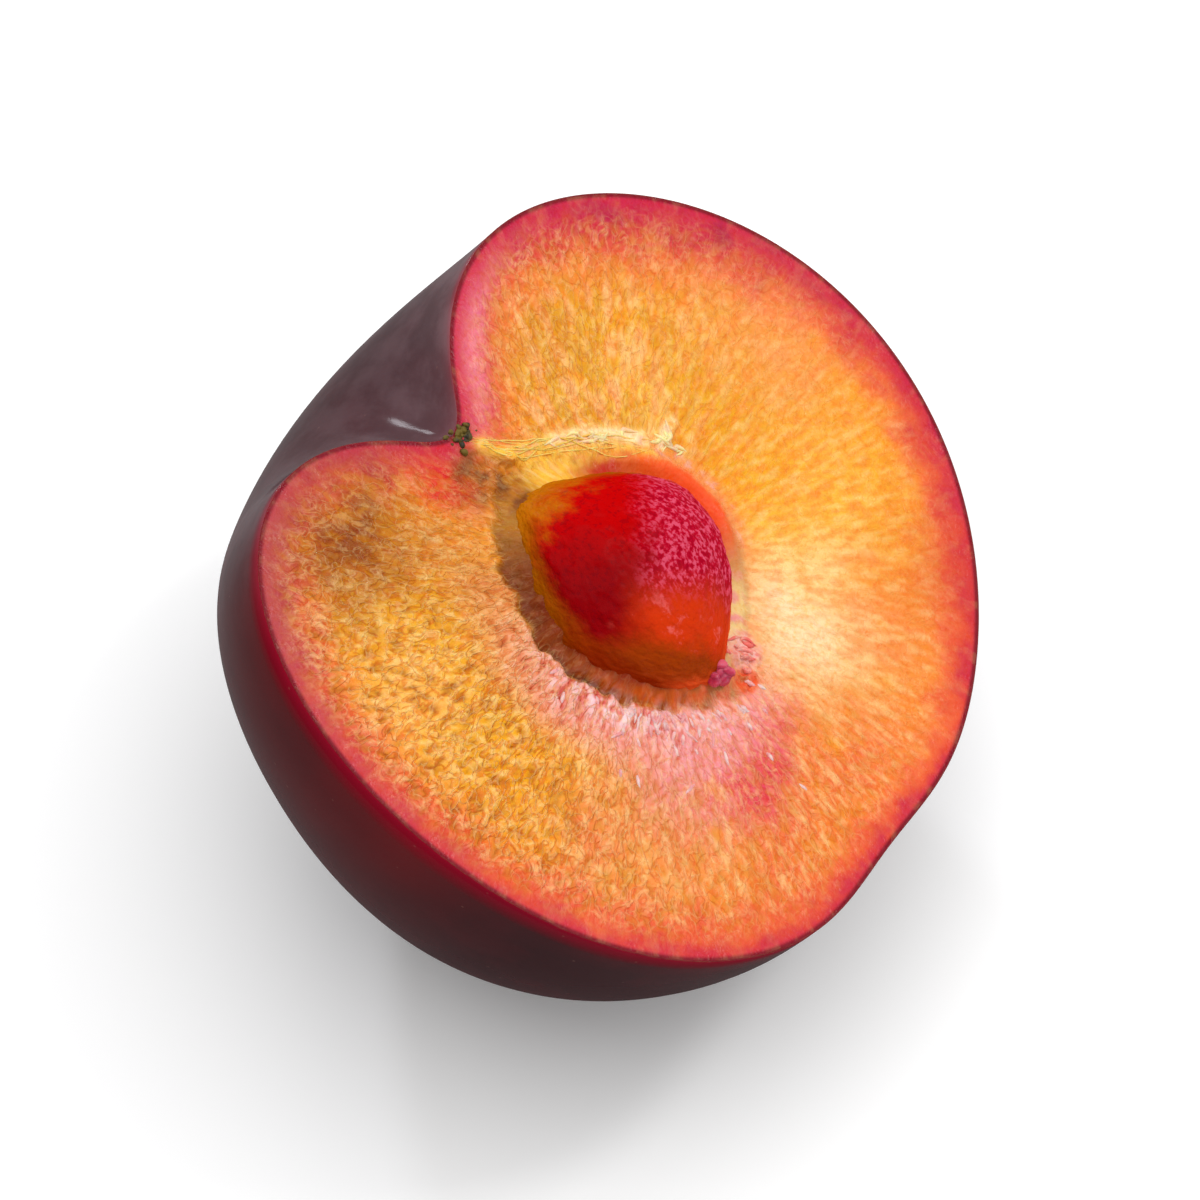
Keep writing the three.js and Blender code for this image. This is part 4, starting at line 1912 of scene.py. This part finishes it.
@dataclass
class TornDetails:
    """Threads and crumbs of flesh round the stone, and the scar at the stem."""

    pose: LyingPose
    half: PlumHalf
    seed: int = 23
    thread_count: int = 8
    shred_count: int = 18
    spike_count: int = 3
    fringe_count: int = 60
    scar_count: int = 44
    crumb_count: int = 16
    rosy_count: int = 9

    def through(
        self, corners: Sequence[Point] | np.ndarray, jitter: float, draw: np.random.Generator, steps: int = 9
    ) -> np.ndarray:
        """A smooth path near the given corners.

        Args:
            corners: Points that the path passes, in the fruit's own frame.
            jitter: How far each corner may stray.
            draw: The source of chance.
            steps: How many points the path has.

        Returns:
            The path's points.
        """
        bent = np.array(corners) + draw.normal(0.0, jitter, (len(corners), 3)) * np.array([1.0, 1.0, 0.3])
        knots = np.linspace(0.0, 1.0, len(corners))
        place = np.linspace(0.0, 1.0, steps)
        line = np.stack([np.interp(place, knots, bent[:, axis]) for axis in range(3)], axis=1)
        for _ in range(2):
            line[1:-1] = (line[:-2] + 2.0 * line[1:-1] + line[2:]) / 4.0
        return line

    def laid(self, path: np.ndarray, lift: float) -> np.ndarray:
        """Lays a path on the finished cut face.

        Args:
            path: The path's points, N by 3.
            lift: How far above the flesh it lies.

        Returns:
            The path's points at the flesh's height.
        """
        down = path.copy()
        down[:, 2] = self.half.height_at(path) + lift
        return down

    def stem_threads(self) -> bpy.types.Object:
        """Yellow threads that run from the scar along the hollow's top edge.

        Returns:
            The finished object.
        """
        draw = np.random.default_rng(self.seed)
        finish = ShredFinish("yellow_threads", paint(250, 206, 110), paint(244, 184, 70)).build()
        paths = []
        for _ in range(self.thread_count):
            corners = [
                (1.0, 14.9, 0.0), (2.3, 12.2, 0.0), (5.2, 10.5, 0.0), (8.6, 8.2, 0.0), (11.2, 5.0, 0.0)
            ]
            paths.append(self.laid(self.through(corners[: draw.integers(3, 6)], 0.5, draw, 21), 0.02))
        threads = Strands("stem_threads", self.pose, finish, wobble=0.06)
        return threads.build(paths, draw.uniform(0.04, 0.08, len(paths)))

    def torn_ridge(self) -> bpy.types.Object:
        """Cream shreds that lie along the hollow's top edge.

        Returns:
            The finished object.
        """
        draw = np.random.default_rng(self.seed + 1)
        finish = ShredFinish("cream_shreds", paint(253, 226, 150), paint(250, 196, 150)).build()
        ridge = np.array(
            [(4.6, 10.9, 0.5), (7.4, 9.3, 0.6), (9.7, 7.5, 0.6), (11.6, 5.4, 0.5), (12.9, 3.2, 0.4)]
        )
        paths = []
        for _ in range(self.shred_count):
            where = draw.uniform(0.0, 4.0)
            length = draw.uniform(0.8, 2.2) / 3.2
            spots = np.clip(np.array([where, where + length / 2, where + length]), 0.0, 4.0)
            knots = np.arange(len(ridge))
            base = np.stack([np.interp(spots, knots, ridge[:, axis]) for axis in range(3)], axis=1)
            paths.append(self.laid(self.through(base, 0.3, draw), 0.0))
        spike = [(12.4, 4.4, 0.3), (13.0, 4.9, 0.6), (13.8, 5.3, 0.4)]
        paths += [self.laid(self.through(spike, 0.22, draw), 0.05) for _ in range(self.spike_count)]
        return Strands("torn_ridge", self.pose, finish).build(paths, draw.uniform(0.1, 0.2, len(paths)))

    def lip_fringe(self) -> bpy.types.Object:
        """Short pale shreds that lie on the flesh along the hollow's lower edge.

        Returns:
            The finished object.
        """
        draw = np.random.default_rng(self.seed + 2)
        finish = ShredFinish("blush_fringe", paint(246, 196, 190), paint(240, 150, 150)).build()
        bearing = np.radians(draw.normal(-132.0, 20.0, self.fringe_count))
        gap = draw.exponential(1.1, len(bearing)) - 0.1
        length = draw.uniform(0.6, 1.3, len(bearing))
        slant = draw.normal(0.0, 0.5, len(bearing))
        lip = self.half.shape.lip(bearing)
        centre = np.array(self.half.shape.lip_centre)
        paths = []
        for angle, near, far, turn in zip(bearing, lip + gap, lip + gap + length, slant):
            place = np.linspace(0.0, 1.0, 5)
            reach = near + (far - near) * place
            bend = angle + turn * place * 0.08
            flat = centre + np.stack([np.cos(bend) * reach, np.sin(bend) * reach, np.zeros(5)], axis=1)
            flat[:, 2] = self.half.height_at(flat) - 0.08 + 0.05 * np.sin(math.pi * place)
            paths.append(flat)
        fringe = Strands("lip_fringe", self.pose, finish, sides=5, wobble=0.1)
        return fringe.build(paths, draw.uniform(0.12, 0.2, len(paths)))

    def stem_scar(self) -> bpy.types.Object:
        """The dark olive scar where the stem was.

        Returns:
            The finished object.
        """
        draw = np.random.default_rng(self.seed + 3)
        finish = ShredFinish("stem_scar", paint(38, 30, 4), paint(104, 84, 10), 0.6, 0.0).build()
        spread = np.array([1.25, 0.75, 0.22])
        spots = np.array([(0.5, 15.75, -0.05)]) + draw.normal(0.0, 0.4, (self.scar_count, 3)) * spread
        scar = Crumbs("stem_scar", self.pose, finish, lumpiness=0.5)
        return scar.build(spots, draw.uniform(0.12, 0.26, len(spots)))

    def tip_crumbs(self) -> list[bpy.types.Object]:
        """Magenta and pink shreds at the stone's lower tip.

        Returns:
            The magenta crumbs and the rosy shreds.
        """
        draw = np.random.default_rng(self.seed + 4)
        purple = ShredFinish("magenta_crumbs", paint(186, 30, 70), paint(214, 84, 110)).build()
        spots = np.array([(0.2, -8.9, 0.9)]) + draw.normal(0.0, 0.32, (self.crumb_count, 3))
        crumbs = Crumbs("magenta_crumbs", self.pose, purple, lumpiness=0.6)
        magenta = crumbs.build(spots, draw.uniform(0.3, 0.5, len(spots)))
        rosy = ShredFinish("rosy_shreds", paint(240, 150, 136), paint(236, 106, 96)).build()
        paths = []
        for _ in range(self.rosy_count):
            root = np.array([3.0, -8.9, 0.0]) + draw.normal(0.0, 0.8, 3) * np.array([1.0, 0.8, 0.0])
            aim = np.array([0.55, -0.75, 0.0]) + draw.normal(0.0, 0.5, 3) * np.array([1.0, 1.0, 0.0])
            tip = root + aim / np.linalg.norm(aim) * draw.uniform(0.7, 1.6)
            paths.append(self.laid(self.through([root, (root + tip) / 2, tip], 0.15, draw), 0.03))
        shreds = Strands("rosy_shreds", self.pose, rosy, sides=8)
        pink = shreds.build(paths, draw.uniform(0.12, 0.24, len(paths)))
        return [magenta, pink]

    def build(self) -> list[bpy.types.Object]:
        """Builds every small piece.

        Returns:
            The finished objects.
        """
        return [
            self.stem_threads(), self.torn_ridge(), self.lip_fringe(), self.stem_scar(), *self.tip_crumbs()
        ]


@dataclass
class Studio:
    """The plain pale floor, the soft lights and the camera."""

    pose: LyingPose
    elevation: float = 55.0
    distance: float = 0.627
    lens: float = 268.0
    aim_mm: Point = (-1.4, -0.45, 0.0)
    sensor_width: float = 36.0
    nearest: float = 0.01
    farthest: float = 50.0
    floor_side: float = 6.0
    floor_colour: Colour = (0.94, 0.94, 0.94)
    floor_roughness: float = 0.6
    floor_glow: float = 0.12
    sky_strength: float = 0.44

    def camera(self) -> None:
        """Makes the camera at the angle that shows the half as in the picture."""
        angle = math.radians(self.elevation)
        back = Vector((0.0, -math.cos(angle), math.sin(angle)))
        up = Vector((0.0, math.sin(angle), math.cos(angle)))
        centre = Vector(self.pose.centre_mm) * MM
        aim = centre + Vector((1.0, 0.0, 0.0)) * self.aim_mm[0] * MM + up * self.aim_mm[1] * MM
        data = bpy.data.cameras.new("camera")
        data.lens = self.lens
        data.sensor_width = self.sensor_width
        data.clip_start = self.nearest
        data.clip_end = self.farthest
        camera = Meshes.link("camera", data)
        camera.location = aim + back * self.distance
        camera.rotation_mode = "QUATERNION"
        camera.rotation_quaternion = (-back).to_track_quat("-Z", "Y")
        bpy.context.scene.camera = camera

    def floor(self) -> None:
        """Makes the pale floor."""
        half = self.floor_side / 2
        corners = np.array([[-half, -half, 0], [half, -half, 0], [half, half, 0], [-half, half, 0]])
        floor = Meshes.make("floor", corners, [(0, 1, 2, 3)])
        values = {"Base Color": self.floor_colour, "Roughness": self.floor_roughness}
        values.update({"Emission Color": WHITE, "Emission Strength": self.floor_glow})
        floor.data.materials.append(Finish("pale_floor").dress(values))

    def light(self, name: str, where: Point, size: float, watts: float, colour: Colour = WHITE) -> None:
        """Makes one soft square light aimed at the half.

        Args:
            name: The light's plain name.
            where: Its place in metres.
            size: The side of the square in metres.
            watts: Its power.
            colour: Its colour.
        """
        data = bpy.data.lights.new(name, "AREA")
        data.size = size
        data.energy = watts
        data.color = colour
        lamp = Meshes.link(name, data)
        lamp.location = where
        aim = Vector(self.pose.centre_mm) * MM - Vector(where)
        lamp.rotation_mode = "QUATERNION"
        lamp.rotation_quaternion = aim.to_track_quat("-Z", "Y")

    def build(self) -> None:
        """Builds the camera, the floor, the lights and the surrounding light."""
        self.camera()
        self.floor()
        self.light("overhead", (0.12, -0.05, 1.25), 1.5, 13.0)
        self.light("key", (0.42, 0.10, 0.62), 0.12, 0.9)
        self.light("shoulder", (-0.3, 0.71, 0.4), 0.1, 1.3, (0.93, 0.95, 1.0))
        world = bpy.data.worlds.new("studio")
        world.use_nodes = True
        sky = world.node_tree.nodes["Background"]
        sky.inputs["Color"].default_value = (*WHITE, 1.0)
        sky.inputs["Strength"].default_value = self.sky_strength
        bpy.context.scene.world = world
        bpy.context.scene.view_settings.view_transform = "Standard"


def main() -> None:
    """Builds every piece, hides the solid that each of the two main pieces stands for, and reports it."""
    logging.basicConfig(level=logging.INFO, format="%(message)s")
    shape = FruitShape()
    pose = LyingPose()
    Studio(pose).build()
    half = PlumHalf(shape, pose, FleshFinish().build(), SkinFinish().build())
    pieces = {"plum_half": half.build(), "stone": Stone(shape, pose, StoneFinish().build()).build()}
    for node, piece in pieces.items():
        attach(piece, "root")
        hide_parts(node)
        LOG.info("%s: %d faces", piece.name, len(piece.data.polygons))
    for piece in TornDetails(pose, half).build():
        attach(piece, "root")
        LOG.info("%s: %d faces", piece.name, len(piece.data.polygons))


if __name__ == "__main__":
    main()
